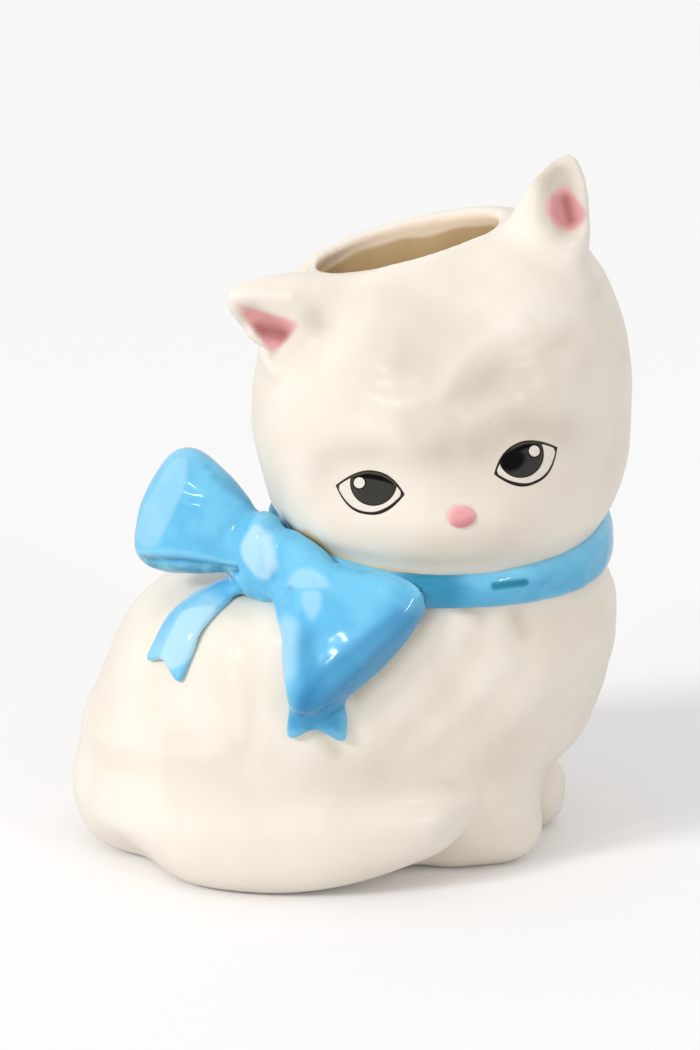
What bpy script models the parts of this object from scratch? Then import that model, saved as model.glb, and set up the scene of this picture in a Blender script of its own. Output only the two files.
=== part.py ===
"""Flower vase in glazed earthenware, shaped as a sitting kitten with a ribbon and a bow at its neck.

The kitten sits on its haunches with its chest to +X and turns its face to -Y. It is slip-cast and
pressed in separate pieces, which a potter lutes together with slip before the glaze goes on:
a torso and a head that are both hollow, so that the crown's mouth opens into one water space,
two ears, a tail, two front paws, a ribbon band, a bow of five pieces and a nose button. The eyes
are transfers, and each of their printed areas is a thin piece. Left and right are the kitten's own.

Sizes are in metres and angles in degrees. Angles round a form start at +X and grow towards +Y,
so -90 is the side that the face is on. Heights on the head are above the neck joint.
"""

import math

import bmesh
import bpy
import numpy as np
from mathutils import Vector

# Walls and clearances
WALL = 0.0045  # cast wall of torso and head
FLOOR = 0.0060  # thickness of the torso's floor
SEAM = 0.0003  # clearance between a luted piece and its seat
BURY = 0.0040  # how far an uncut piece reaches under its seat before the seat trims it
MOUTH_CLEAR = 0.0080  # height above the mouth's edge that the ears are kept out of

# Neck, where the head is luted to the torso
NECK_X = 0.0273  # the neck stands over the chest, off the torso's middle
NECK_HEIGHT = 0.0950
NECK_RADIUS = 0.0463
NECK_PITCH = 2.0  # lean of the joint plane towards the face
COLLAR = 0.0070  # straight stretch that the ribbon hides, on each side of the joint
TRIM_BELOW = 0.0200  # how far below the joint the surface that trims the ribbon reaches
TRIM_ABOVE = 0.0250

# Torso outline, from the foot to the shoulders: share of the height up to the collar, centre x,
# centre y, half width, half depth
TORSO_OUTLINE = (
    (0.000, -0.0135, 0.0070, 0.0595, 0.0430),
    (0.068, -0.0140, 0.0070, 0.0655, 0.0490),
    (0.227, -0.0120, 0.0070, 0.0710, 0.0530),
    (0.386, -0.0060, 0.0060, 0.0760, 0.0540),
    (0.568, 0.0000, 0.0035, 0.0743, 0.0535),
    (0.750, 0.0050, 0.0015, 0.0730, 0.0515),
    (0.886, 0.0098, 0.0005, 0.0683, 0.0495),
    (0.966, 0.0193, 0.0000, 0.0567, 0.0475),
)
FULLNESS = 2.12  # of the sections of torso and head: 2 is an ellipse, and more is squarer

# Swellings and hollows of the torso: angle, height, angle spread, height spread, lift
TORSO_SWELLINGS = (
    (-112.0, 0.0420, 34.0, 0.0240, 0.0050),  # right haunch
    (112.0, 0.0400, 34.0, 0.0240, 0.0050),  # left haunch
    (-38.0, 0.0560, 30.0, 0.0200, 0.0035),  # right shoulder
    (38.0, 0.0560, 30.0, 0.0200, 0.0035),  # left shoulder
    (-70.0, 0.0300, 14.0, 0.0300, -0.0025),  # between right haunch and leg
    (-38.0, 0.0040, 24.0, 0.0160, -0.0060),  # behind the right paw
    (10.0, 0.0060, 20.0, 0.0140, -0.0060),  # behind the left paw
    (-160.0, 0.0120, 42.0, 0.0150, -0.0090),  # behind the tail
)

# Head outline above the neck joint: height, offset x, offset y, half width, half depth, pitch, roll
HEAD_OUTLINE = (
    (0.0130, 0.0000, -0.0010, 0.0505, 0.0485, 2.0, 1.0),
    (0.0240, 0.0003, -0.0020, 0.0536, 0.0500, 3.0, 3.0),
    (0.0380, -0.0006, -0.0020, 0.0554, 0.0510, 4.0, 6.0),
    (0.0520, -0.0013, -0.0015, 0.0551, 0.0500, 5.0, 9.0),
    (0.0650, -0.0030, -0.0012, 0.0523, 0.0460, 6.0, 12.0),
    (0.0760, -0.0056, -0.0004, 0.0470, 0.0392, 7.0, 14.0),
    (0.0848, -0.0090, 0.0000, 0.0378, 0.0262, 8.0, 15.0),
    (0.0889, -0.0114, 0.0000, 0.0303, 0.0167, 8.0, 15.0),
)

# Swellings and hollows of the head: angle, height, angle spread, height spread, lift
HEAD_SWELLINGS = (
    (-86.0, 0.0190, 26.0, 0.0110, 0.0030),  # muzzle
    (-125.0, 0.0300, 18.0, 0.0090, -0.0012),  # eye hollows
    (-52.0, 0.0300, 18.0, 0.0090, -0.0012),
)

# Ears: name, angle and height of the base on the head, tip from base, half width, half thickness,
# direction of the base's width, turn of the scoop from the ear's front, seen from the tip
EARS = (
    ("right_ear", -149.0, 0.0820, (-0.0206, -0.0010, 0.0067), 0.0150, 0.0090, (0.39, 0.45, 0.80), -50.0),
    ("left_ear", -17.0, 0.0832, (0.0066, 0.0010, 0.0242), 0.0136, 0.0080, (0.92, -0.23, -0.31), 27.0),
)
EAR_TAPER = 0.55  # power of the ear's taper: less makes a blunter tip
EAR_SCOOP = 0.42  # depth of the ear's hollow, as a share of the section
EAR_SCOOP_SPREAD = 38.0
EAR_SCOOP_FADE = 0.6  # power of the scoop's fade to the base and to the tip
# Where an ear has its sections, as shares of its length. The first two lie inside the head.
EAR_STATIONS = (-0.5, -0.25, 0.0, 0.18, 0.35, 0.52, 0.67, 0.8, 0.9, 0.965, 0.993)

# Nose button
NOSE_ANGLE = -87.0
NOSE_HEIGHT = 0.0256
NOSE_SIZE = (0.0043, 0.0035, 0.0030)  # half width, half height, half depth
NOSE_SINK = 0.0008  # from the head's skin in to its middle
NOSE_FULLNESS = 2.1

# Plane that the eye transfers are laid out on, leaning back towards the crown
FACE_LEAN = 18.0
# Eyes: name, angle and height of the centre on the head, rise of the outer corner, outer side
EYES = (
    ("right_eye", -112.0, 0.0343, 7.8, -1),
    ("left_eye", -67.6, 0.0388, 23.1, 1),
)
EYE_HALF_LENGTH = 0.0094
EYE_RISE = 0.0051  # from the line through the corners up to the upper lid
EYE_DROP = 0.0067  # and down to the lower lid
UPPER_LID_POWERS = (1.9, 2.4)  # fullness of its outer half, and of its inner half
LOWER_LID_POWER = 2.45
LID_LINE = 0.0009  # printed line of the upper lid
EYE_LINE = 0.0006  # printed line of the lower lid
IRIS_CENTRE = (-0.0008, 0.0020)  # towards the outer corner, and up
IRIS_RADIUS = 0.0064
GLINT_CENTRE = (0.0034, 0.0017)
GLINT_RADIUS = 0.0016
PRINT_FILM = 0.0004  # thickness of a printed area
PRINT_GAP = 0.0002  # between two printed areas

# Tail, laid round the foot from the rump: angle and height on the torso, distance of its middle
# from the torso's skin, half thickness, half height
TAIL_ROUTE = (
    (164.0, 0.0210, -0.0080, 0.0055, 0.0080),
    (177.0, 0.0200, -0.0062, 0.0105, 0.0135),
    (-164.0, 0.0180, -0.0040, 0.0130, 0.0165),
    (-142.5, 0.0170, -0.0042, 0.0142, 0.0175),
    (-123.0, 0.0170, -0.0050, 0.0145, 0.0178),
    (-107.5, 0.0168, -0.0045, 0.0142, 0.0175),
    (-92.0, 0.0165, -0.0040, 0.0134, 0.0168),
    (-77.0, 0.0175, -0.0012, 0.0120, 0.0140),
    (-66.0, 0.0190, 0.0018, 0.0100, 0.0108),
    (-58.0, 0.0200, 0.0036, 0.0072, 0.0078),
    (-53.0, 0.0205, 0.0050, 0.0030, 0.0034),
)
TAIL_FULLNESS = 2.3

# Front paws: name, angle and height of the middle on the torso, distance from the skin, half width
# across the vase and from front to back, height above the middle
PAWS = (
    ("right_front_paw", -33.0, 0.0110, -0.0018, (0.0188, 0.0156, 0.0190)),
    ("left_front_paw", 2.0, 0.0100, 0.0058, (0.0125, 0.0130, 0.0125)),
)
PAW_FULLNESS = 2.2
FOOT_FLAT = 0.0010  # how far a rounded underside is cut off where it rests

# Ribbon band round the neck
BAND_THICKNESS = 0.0033
BAND_HALF_FRONT = 0.0050  # half height under the chin, where the head covers the rest
BAND_HALF_BACK = 0.0080
BAND_BULGE = 0.0008
BAND_MIDDLE_FRONT = 0.0002  # height of its middle under the chin, from the joint
BAND_MIDDLE_BACK = 0.0005
# Half of the band's profile: share of its thickness, and share of its half height
BAND_EDGE = ((0.55, 1.0), (0.9, 0.86))
BAND_FACE = (0.5, 0.0)  # shares of the half height that its domed face has points at

# Bow knot, and the two loops: offsets are from the knot's middle
KNOT_ANGLE = -157.0
KNOT_OUT = 0.0080  # from the band's outer face to the knot's middle
KNOT_RISE = 0.0015  # from the joint's height
KNOT_LENGTH_AXIS = (0.02, 0.16, 0.99)
KNOT_WIDTH_AXIS = (0.89, -0.24, -0.38)
KNOT_SIZE = (0.0122, 0.0086, 0.0105)  # half length, half width, half depth
KNOT_FULLNESS = 2.5

# Loops: distance from the knot along the loop, half width, half thickness
REAR_LOOP_START = (-0.0022, 0.0000, 0.0034)
REAR_LOOP_REACH = (-0.0306, 0.0160, 0.0098)
REAR_LOOP_WIDTH_AXIS = (0.43, 0.11, 0.90)
REAR_LOOP = (
    (-0.0060, 0.0070, 0.0045),
    (0.0030, 0.0098, 0.0065),
    (0.0100, 0.0136, 0.0084),
    (0.0180, 0.0172, 0.0094),
    (0.0250, 0.0190, 0.0094),
    (0.0295, 0.0188, 0.0088),
    (0.0330, 0.0168, 0.0074),
    (0.0352, 0.0122, 0.0052),
    (0.0364, 0.0050, 0.0026),
)
FRONT_LOOP_START = (0.0085, -0.0080, -0.0030)
FRONT_LOOP_REACH = (0.0237, -0.0260, -0.0193)
FRONT_LOOP_WIDTH_AXIS = (0.72, 0.17, 0.68)
FRONT_LOOP = (
    (-0.0060, 0.0062, 0.0050),
    (0.0030, 0.0085, 0.0070),
    (0.0110, 0.0125, 0.0092),
    (0.0190, 0.0178, 0.0104),
    (0.0260, 0.0226, 0.0104),
    (0.0310, 0.0256, 0.0098),
    (0.0345, 0.0257, 0.0088),
    (0.0375, 0.0224, 0.0072),
    (0.0398, 0.0150, 0.0050),
    (0.0412, 0.0060, 0.0026),
)
LOOP_FULLNESS = 2.3

# Ribbon ends that lie on the torso: angle on it, drop below the neck joint, half width
REAR_END_ROUTE = (
    (-163.0, 0.0082, 0.0054),
    (-156.0, 0.0108, 0.0062),
    (-147.0, 0.0150, 0.0071),
    (-142.0, 0.0215, 0.0076),
    (-140.5, 0.0308, 0.0080),
)
FRONT_END_ROUTE = (
    (-100.5, 0.0250, 0.0085),
    (-99.5, 0.0310, 0.0088),
    (-98.2, 0.0365, 0.0088),
    (-96.6, 0.0438, 0.0086),
)
END_THICKNESS = 0.0038  # of a ribbon end along its middle
END_EDGE = 0.0020  # and along its edges
END_NOTCH = 0.0036  # depth of its swallowtail
# Across a ribbon end: share of its half width, and share of the notch that the end is cut back by
END_COLUMNS = (
    (-1.0, -0.04),
    (-0.75, -0.11),
    (-0.4, 0.55),
    (0.0, 1.0),
    (0.4, 0.55),
    (0.75, -0.11),
    (1.0, -0.04),
)

# Mesh density
SIDES = 44  # of torso and head
TORSO_RINGS = 25
HEAD_RINGS = 23
INNER_RINGS = 11
LIP_RINGS = 5
BAND_STEPS = 60
SMALL_SIDES = 20
EAR_SIDES = 24
LOOP_SIDES = 24
PAW_RINGS = 11
LUMP_RINGS = 9
POLE = 84.0  # latitude of the last ring at each end of a rounded lump
TAIL_STEPS = 3  # sections for each row of the tail's route
SHARP_ANGLE = 50.0
TURN_STEP = 0.1  # steps that directions on a form are measured over
LEVEL_STEP = 0.001


def unit(vector):
    vector = np.array(vector, float)
    return vector / np.linalg.norm(vector)


def turned(angle):
    """(cosine, sine) of an angle in degrees."""
    return math.cos(math.radians(angle)), math.sin(math.radians(angle))


def spaced(low, high, count):
    return [low + (high - low) * i / (count - 1) for i in range(count)]


def signed_power(value, power):
    return math.copysign(abs(value) ** power, value)


def smooth_row(rows, level):
    """The table's row at a fractional row number, on a smooth curve through its rows."""
    last = len(rows) - 1
    i = int(min(max(level, 0.0), last - 1e-9))
    f = level - i
    before, here = rows[max(i - 1, 0)], rows[i]
    there, after = rows[i + 1], rows[min(i + 2, last)]
    return 0.5 * (
        2 * here
        + (there - before) * f
        + (2 * before - 5 * here + 4 * there - after) * f**2
        + (3 * here - before - 3 * there + after) * f**3
    )


class Form:
    """A skin through oval sections stacked on a bent spine, with soft swellings.

    Each row is a section: x, y and z of its centre, half width, half depth, pitch and roll.
    A level is a fractional row number.
    """

    def __init__(self, rows, swellings):
        self.rows = np.array(rows, float)
        self.swellings = swellings
        self.top = len(rows) - 1.0

    def section(self, level):
        """(centre, sideways axis, depth axis, half width, half depth) of a section."""
        x, y, z, half_width, half_depth, pitch, roll = smooth_row(self.rows, level)
        p, r = math.radians(pitch), math.radians(roll)
        side = np.array([math.cos(r), 0.0, math.sin(r)])
        depth = np.array([-math.sin(r) * math.sin(p), math.cos(p), math.cos(r) * math.sin(p)])
        return np.array([x, y, z]), side, depth, half_width, half_depth

    def level_at(self, height):
        """The level whose section has its centre at this height."""
        low, high = 0.0, self.top
        for _ in range(40):
            middle = (low + high) / 2
            if smooth_row(self.rows, middle)[2] < height:
                low = middle
            else:
                high = middle
        return low

    def between(self, count):
        """The levels of so many rings from end to end, without the two at the ends."""
        return spaced(0.0, self.top, count)[1:-1]

    def lift(self, angle, height):
        total = 0.0
        for at_angle, at_height, angle_spread, height_spread, most in self.swellings:
            turn = (angle - at_angle + 180.0) % 360.0 - 180.0
            rise = height - at_height
            total += most * math.exp(-((turn / angle_spread) ** 2) - (rise / height_spread) ** 2)
        return total

    def point(self, angle, level, out=0.0):
        """The skin's point, or the point out from it within its section's plane."""
        centre, side, depth, half_width, half_depth = self.section(level)
        c, s = turned(angle)
        across = half_width * signed_power(c, 2.0 / FULLNESS)
        along = half_depth * signed_power(s, 2.0 / FULLNESS)
        outward = unit([c / half_width, s / half_depth])
        reach = out + self.lift(angle, centre[2])
        return centre + side * (across + outward[0] * reach) + depth * (along + outward[1] * reach)

    def along(self, angle, level):
        """Direction round the skin at a point."""
        return unit(self.point(angle + TURN_STEP, level) - self.point(angle - TURN_STEP, level))

    def normal(self, angle, level):
        low, high = max(level - LEVEL_STEP, 0.0), min(level + LEVEL_STEP, self.top)
        climb = self.point(angle, high) - self.point(angle, low)
        return unit(np.cross(self.along(angle, level), climb))

    def offset(self, angle, level, distance):
        return self.point(angle, level) + self.normal(angle, level) * distance

    def rolled(self, angle, depth, reach, turn):
        """A point of a wall's rolled top edge, at a turn from the wall's outside over its crest."""
        out = self.normal(angle, self.top)
        crest = np.cross(out, self.along(angle, self.top))
        c, s = turned(turn)
        return self.point(angle, self.top) - out * depth + (out * c + crest * s) * reach

    def ring(self, level, sides, distance=0.0):
        return [self.offset(360.0 * i / sides, level, distance) for i in range(sides)]

    def flat_ring(self, level, sides, distance):
        """A ring moved within its section's plane, for ends that meet a joint."""
        return [self.point(360.0 * i / sides, level, distance) for i in range(sides)]


def material(name, colour, roughness):
    """A finish from an sRGB colour, written as six hexadecimal digits."""
    srgb = [int(colour[i : i + 2], 16) / 255 for i in (0, 2, 4)]
    linear = [c / 12.92 if c <= 0.04045 else ((c + 0.055) / 1.055) ** 2.4 for c in srgb]
    made = bpy.data.materials.new(name)
    made.use_nodes = True
    shader = made.node_tree.nodes["Principled BSDF"]
    shader.inputs["Base Color"].default_value = (*linear, 1.0)
    shader.inputs["Roughness"].default_value = roughness
    made.diffuse_color = (*linear, 1.0)
    return made


def solid(name, shape, finish):
    """A smooth-shaded object from a closed bmesh. Without a finish it is a cutter, which never shows."""
    bmesh.ops.triangulate(shape, faces=shape.faces)
    bmesh.ops.recalc_face_normals(shape, faces=shape.faces)
    mesh = bpy.data.meshes.new(name)
    shape.to_mesh(mesh)
    shape.free()
    mesh.shade_smooth()
    mesh.set_sharp_from_angle(angle=math.radians(SHARP_ANGLE))
    made = bpy.data.objects.new(name, mesh)
    bpy.context.scene.collection.objects.link(made)
    if finish:
        mesh.materials.append(finish)
    else:
        made.hide_render = True
        made.display_type = "WIRE"
    return made


def skin(name, rings, finish=None, loop=False):
    """A solid skinned through rings of equal length. Its ends are capped, unless it is a loop."""
    shape = bmesh.new()
    rows = [[shape.verts.new(Vector(p)) for p in ring] for ring in rings]
    sides = len(rows[0])
    pairs = list(zip(rows, rows[1:]))
    if loop:
        pairs.append((rows[-1], rows[0]))
    for low, high in pairs:
        for i in range(sides):
            j = (i + 1) % sides
            shape.faces.new((low[i], low[j], high[j], high[i]))
    if not loop:
        shape.faces.new(list(reversed(rows[0])))
        shape.faces.new(rows[-1])
    return solid(name, shape, finish)


def cut(piece, *cutters, operation="DIFFERENCE"):
    for cutter in cutters:
        trim = piece.modifiers.new(operation.title() + " " + cutter.name, "BOOLEAN")
        trim.operation = operation
        trim.solver = "EXACT"
        trim.object = cutter


def oval(centre, side, rise, half_width, half_height, fullness, sides=SMALL_SIDES):
    """A ring round a centre, in the plane of two unit directions."""
    points = []
    for i in range(sides):
        c, s = turned(360.0 * i / sides)
        across = half_width * signed_power(c, 2.0 / fullness)
        up = half_height * signed_power(s, 2.0 / fullness)
        points.append(centre + side * across + rise * up)
    return points


def torso_form():
    collar = NECK_HEIGHT - COLLAR
    rows = [(x, y, share * collar, w, d, 0.0, 0.0) for share, x, y, w, d in TORSO_OUTLINE]
    for height in (collar, NECK_HEIGHT):
        rows.append((NECK_X, 0.0, height, NECK_RADIUS, NECK_RADIUS, NECK_PITCH, 0.0))
    return Form(rows, TORSO_SWELLINGS)


def head_form():
    rows = [
        (NECK_X, 0.0, NECK_HEIGHT + height, NECK_RADIUS, NECK_RADIUS, NECK_PITCH, 0.0)
        for height in (SEAM, COLLAR)
    ]
    for height, x, y, width, depth, pitch, roll in HEAD_OUTLINE:
        rows.append((NECK_X + x, y, NECK_HEIGHT + height, width, depth, pitch, roll))
    swellings = [(a, NECK_HEIGHT + h, sa, sh, lift) for a, h, sa, sh, lift in HEAD_SWELLINGS]
    return Form(rows, swellings)


def on_torso(torso, angle, height, distance=0.0):
    return torso.offset(angle, torso.level_at(height), distance)


def nearest(form, point, angle, level):
    """(angle, level) of the form's point that is nearest to a point, searched from a start close by."""
    turn, climb = 4.0, 0.2
    best = np.linalg.norm(form.point(angle, level) - point)
    while turn > 0.02:
        moved = False
        for d_angle, d_level in ((turn, 0.0), (-turn, 0.0), (0.0, climb), (0.0, -climb)):
            there = (angle + d_angle, min(max(level + d_level, 0.0), form.top))
            distance = np.linalg.norm(form.point(*there) - point)
            if distance < best:
                best, moved = distance, True
                angle, level = there
        if not moved:
            turn, climb = turn / 2, climb / 2
    return angle, level


def on_head(head, angle, height, distance=0.0):
    return head.offset(angle, head.level_at(NECK_HEIGHT + height), distance)


def body_shell(torso, glaze):
    """The hollow torso, with a flat foot and an open neck."""
    outer = [torso.ring(level, SIDES) for level in torso.between(TORSO_RINGS)]
    foot = torso.flat_ring(0.0, SIDES, 0.0)
    neck = torso.flat_ring(torso.top, SIDES, 0.0)
    bore = torso.flat_ring(torso.top, SIDES, -WALL)
    floor_level = torso.level_at(FLOOR)
    inner = [
        torso.ring(level, SIDES, -WALL)
        for level in reversed(spaced(floor_level, torso.top, INNER_RINGS)[1:-1])
    ]
    floor = [np.array([p[0], p[1], FLOOR]) for p in torso.ring(floor_level, SIDES, -2 * WALL)]
    return skin("body_shell", [foot, *outer, neck, bore, *inner, floor], glaze)


def head_shell(head, glaze):
    """The hollow head, open at the neck and at the crown's mouth, which has a rounded lip."""
    outer = [head.ring(level, SIDES) for level in head.between(HEAD_RINGS)]
    seat = head.flat_ring(0.0, SIDES, 0.0)
    bore = head.flat_ring(0.0, SIDES, -WALL)
    around = [360.0 * i / SIDES for i in range(SIDES)]
    lip = [
        [head.rolled(angle, WALL / 2, WALL / 2, turn) for angle in around]
        for turn in spaced(0.0, 180.0, LIP_RINGS + 2)
    ]
    inner = [
        head.ring(level, SIDES, -WALL)
        for level in reversed(head.between(INNER_RINGS))
    ]
    return skin("head_shell", [seat, *outer, *lip, *inner, bore], glaze, loop=True)


def torso_seat(torso):
    """The torso's outside, grown by the seam, to trim what is luted on. It reaches below the foot."""
    rings = [torso.ring(level, SIDES, SEAM) for level in torso.between(TORSO_RINGS)]
    foot = torso.flat_ring(0.0, SIDES, SEAM)
    under = [p - np.array([0.0, 0.0, BURY]) for p in foot]
    neck = torso.flat_ring(torso.top, SIDES, SEAM)
    return skin("torso seat", [under, foot, *rings, neck])


def head_outside(name, head, distance):
    """The head's outside, grown by a distance, with a column that keeps its mouth clear."""
    rings = [head.ring(level, SIDES, distance) for level in head.between(HEAD_RINGS)]
    joint = head.flat_ring(0.0, SIDES, distance)
    around = [360.0 * i / SIDES for i in range(SIDES)]
    crest = [
        [head.rolled(angle, WALL / 2, WALL / 2 + distance, turn) for angle in around]
        for turn in (0.0, 45.0, 90.0)
    ]
    column = [p + np.array([0.0, 0.0, MOUTH_CLEAR]) for p in crest[-1]]
    return skin(name, [joint, *rings, *crest, column])


def neck_core(torso, head):
    """Shoulders, neck and cheeks as one skin, grown by the seam, for what spans their joint."""
    low = torso.level_at(NECK_HEIGHT - TRIM_BELOW)
    high = head.level_at(NECK_HEIGHT + TRIM_ABOVE)
    shoulders = [torso.ring(level, SIDES, SEAM) for level in torso.between(TORSO_RINGS) if level > low]
    cheeks = [head.ring(level, SIDES, SEAM) for level in head.between(HEAD_RINGS) if level < high]
    joint = [torso.flat_ring(torso.top, SIDES, SEAM), head.flat_ring(0.0, SIDES, SEAM)]
    return skin("neck core", [*shoulders, *joint, *cheeks])


def ear(head, glaze, name, angle, height, tip, half_width, half_thickness, width_axis, scoop_turn):
    """A blunt cone with a hollow pressed into its outer side."""
    base = on_head(head, angle, height)
    side = unit(width_axis)
    front = unit(np.cross(side, unit(tip)))
    if front[1] > 0:
        front = -front
    scoop_at = -90.0 + scoop_turn
    rings = []
    for t in EAR_STATIONS:
        taper = (1.0 - t) ** EAR_TAPER
        deep = EAR_SCOOP * math.sin(math.pi * max(t, 0.0)) ** EAR_SCOOP_FADE
        ring = []
        for i in range(EAR_SIDES):
            phi = 360.0 * i / EAR_SIDES
            c, s = turned(phi)
            turn = (phi - scoop_at + 180.0) % 360.0 - 180.0
            inward = 1.0 - deep * math.exp(-((turn / EAR_SCOOP_SPREAD) ** 2))
            across = side * (half_width * taper * c * inward)
            # phi grows from the width's end to the side away from the front
            ring.append(base + np.array(tip) * t + across - front * (half_thickness * taper * s * inward))
        rings.append(ring)
    return skin(name, rings, glaze)


def pebble(name, centre, axes, sizes, fullness, finish=None):
    """A rounded lump with three half sizes along three unit axes."""
    stack = []
    for angle in spaced(-POLE, POLE, LUMP_RINGS):
        c, s = turned(angle)
        wide = c ** (2.0 / fullness)
        middle = centre + axes[0] * sizes[0] * signed_power(s, 2.0 / fullness)
        stack.append(oval(middle, axes[1], axes[2], sizes[1] * wide, sizes[2] * wide, fullness))
    return skin(name, stack, finish)


def nose(head, glaze):
    half_width, half_height, half_depth = NOSE_SIZE
    level = head.level_at(NECK_HEIGHT + NOSE_HEIGHT)
    out = head.normal(NOSE_ANGLE, level)
    across = head.along(NOSE_ANGLE, level)
    axes = (out, across, np.cross(out, across))
    centre = head.point(NOSE_ANGLE, level) - out * NOSE_SINK
    return pebble("nose", centre, axes, (half_depth, half_width, half_height), NOSE_FULLNESS, glaze)


def lid_outline(inset, upper_inset, lower_inset, points=13):
    """An almond in the eye's own frame, from the outer corner over the upper lid and back."""
    reach = EYE_HALF_LENGTH - inset
    along = [reach * turned(180.0 * i / (points - 1))[0] for i in range(points)]
    upper, lower = [], []
    for x in along:
        power = UPPER_LID_POWERS[0 if x > 0.0 else 1]
        upper.append((x, (EYE_RISE - upper_inset) * (1.0 - abs(x / reach) ** power)))
        lower.append((x, (lower_inset - EYE_DROP) * (1.0 - abs(x / reach) ** LOWER_LID_POWER)))
    return upper, lower[-2:0:-1]


def white_outline(gap):
    """The white of the eye: what the lids leave, less the iris."""
    upper, lower = lid_outline(2 * EYE_LINE + gap, LID_LINE + gap, EYE_LINE + gap, points=25)
    radius = IRIS_RADIUS + gap
    bounded = []
    for x, y in upper:
        off = x - IRIS_CENTRE[0]
        if abs(off) < radius:
            y = min(y, IRIS_CENTRE[1] - math.sqrt(radius**2 - off**2))
        bounded.append((x, y))
    return bounded + lower


def glint_outline(gap, points=16):
    radius = GLINT_RADIUS - gap
    turns = [turned(360.0 * i / points) for i in range(points)]
    return [(GLINT_CENTRE[0] + radius * c, GLINT_CENTRE[1] + radius * s) for c, s in turns]


def eye_prism(name, head, eye, outline, finish=None):
    """An outline of the eye's transfer, run through the head's skin towards the viewer."""
    _, angle, height, rise, outer_side = eye
    c, s = turned(rise)
    lean_c, lean_s = turned(FACE_LEAN)
    across = np.array([1.0, 0.0, 0.0]) * outer_side
    up = np.array([0.0, lean_s, lean_c])
    forward = np.array([0.0, -lean_c, lean_s])
    outer = across * c + up * s
    above = up * c - across * s
    centre = on_head(head, angle, height)
    rings = []
    for depth in (-2 * BURY, 2 * BURY):
        rings.append([centre + outer * x + above * y + forward * depth for x, y in outline])
    return skin(name, rings, finish)


def eye_prints(head, eye, under, over, black, white):
    """The printed areas of one eye, each bent over the head between the film's two faces."""
    name = eye[0]
    upper, lower = lid_outline(0.0, 0.0, 0.0)
    dark = eye_prism(name + "_print", head, eye, upper + lower, black)
    pale = eye_prism(name + "_white", head, eye, white_outline(PRINT_GAP), white)
    glint = eye_prism(name + "_glint", head, eye, glint_outline(PRINT_GAP), white)
    for piece in (dark, pale, glint):
        cut(piece, over, operation="INTERSECT")
        cut(piece, under)
    cut(dark, eye_prism(name + " white opening", head, eye, white_outline(0.0)))
    cut(dark, eye_prism(name + " glint opening", head, eye, glint_outline(0.0)))


def tail(name, torso, grow=0.0, finish=None):
    """The tail's roll, flat where it rests. Its start tapers into the rump."""
    route = np.array(TAIL_ROUTE)
    route[:, 0] = np.where(route[:, 0] > 0.0, route[:, 0] - 360.0, route[:, 0])
    steps = TAIL_STEPS * (len(route) - 1) + 1
    rows = [smooth_row(route, level) for level in spaced(0.0, len(route) - 1.0, steps)]
    centres = []
    for angle, height, out, _, _ in rows:
        centre = on_torso(torso, angle, height, out)
        centre[2] = height
        centres.append(centre)
    up = np.array([0.0, 0.0, 1.0])
    rings = []
    for i, centre in enumerate(centres):
        ahead = unit(centres[min(i + 1, steps - 1)] - centres[max(i - 1, 0)])
        if i == 0:
            centre = centre - ahead * grow
        if i == steps - 1:
            centre = centre + ahead * grow
        side = unit(np.cross(ahead, up))
        ring = oval(centre, side, up, rows[i][3] + grow, rows[i][4] + grow, TAIL_FULLNESS)
        for p in ring:
            p[2] = max(p[2], -grow)
        rings.append(ring)
    return skin(name, rings, finish)


def paw(torso, glaze, name, angle, height, out, sizes):
    """A paw that is rounder below its middle than above, and flat where it rests."""
    half_width, half_depth, rise = sizes
    centre = on_torso(torso, angle, height, out)
    right, back = np.array([1.0, 0.0, 0.0]), np.array([0.0, 1.0, 0.0])
    rings = []
    for angle in spaced(-POLE, POLE, PAW_RINGS):
        c, s = turned(angle)
        wide = c ** (2.0 / PAW_FULLNESS)
        up = signed_power(s, 2.0 / PAW_FULLNESS) * (rise if s > 0.0 else height + FOOT_FLAT)
        middle = np.array([centre[0], centre[1], max(height + up, 0.0)])
        rings.append(oval(middle, right, back, half_width * wide, half_depth * wide, PAW_FULLNESS))
    return skin(name, rings, glaze)


def band_face(angle):
    """Middle height above the joint, and half height, of the band at an angle round the neck."""
    back = (1.0 - turned(angle + 90.0)[0]) / 2.0
    share = 1.0 - (1.0 - back) ** 3
    middle = BAND_MIDDLE_FRONT + (BAND_MIDDLE_BACK - BAND_MIDDLE_FRONT) * share
    return middle, BAND_HALF_FRONT + (BAND_HALF_BACK - BAND_HALF_FRONT) * share


def band_point(angle, out, rise):
    """A point at a distance out from the neck's skin, at a height above the joint."""
    c, s = turned(angle)
    lean = math.tan(math.radians(NECK_PITCH))
    reach = NECK_RADIUS + out
    return np.array([NECK_X + c * reach, s * reach, NECK_HEIGHT + rise + s * reach * lean])


def neck_band(name, grow=0.0, finish=None):
    """The ribbon round the neck, with a softly domed face and rounded edges."""
    rings = []
    for step in range(BAND_STEPS):
        angle = 360.0 * step / BAND_STEPS
        middle, half = band_face(angle)
        half += grow
        outer = BAND_THICKNESS + grow
        profile = [(-BURY, half)]
        profile += [(outer * thick, half * tall) for thick, tall in BAND_EDGE]
        for tall in BAND_FACE:
            profile.append((outer + BAND_BULGE * (1.0 - (tall / BAND_EDGE[-1][1]) ** 2), half * tall))
        profile += [(out, -rise) for out, rise in profile[-2::-1]]
        rings.append([band_point(angle, out, middle + rise) for out, rise in profile])
    return skin(name, rings, finish, loop=True)


def knot_frame():
    """The knot's middle and its length, width and depth axes."""
    centre = band_point(KNOT_ANGLE, BAND_THICKNESS + KNOT_OUT, KNOT_RISE)
    length = unit(KNOT_LENGTH_AXIS)
    width = unit(np.array(KNOT_WIDTH_AXIS) - length * np.dot(KNOT_WIDTH_AXIS, length))
    return centre, (length, width, np.cross(length, width))


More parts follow.
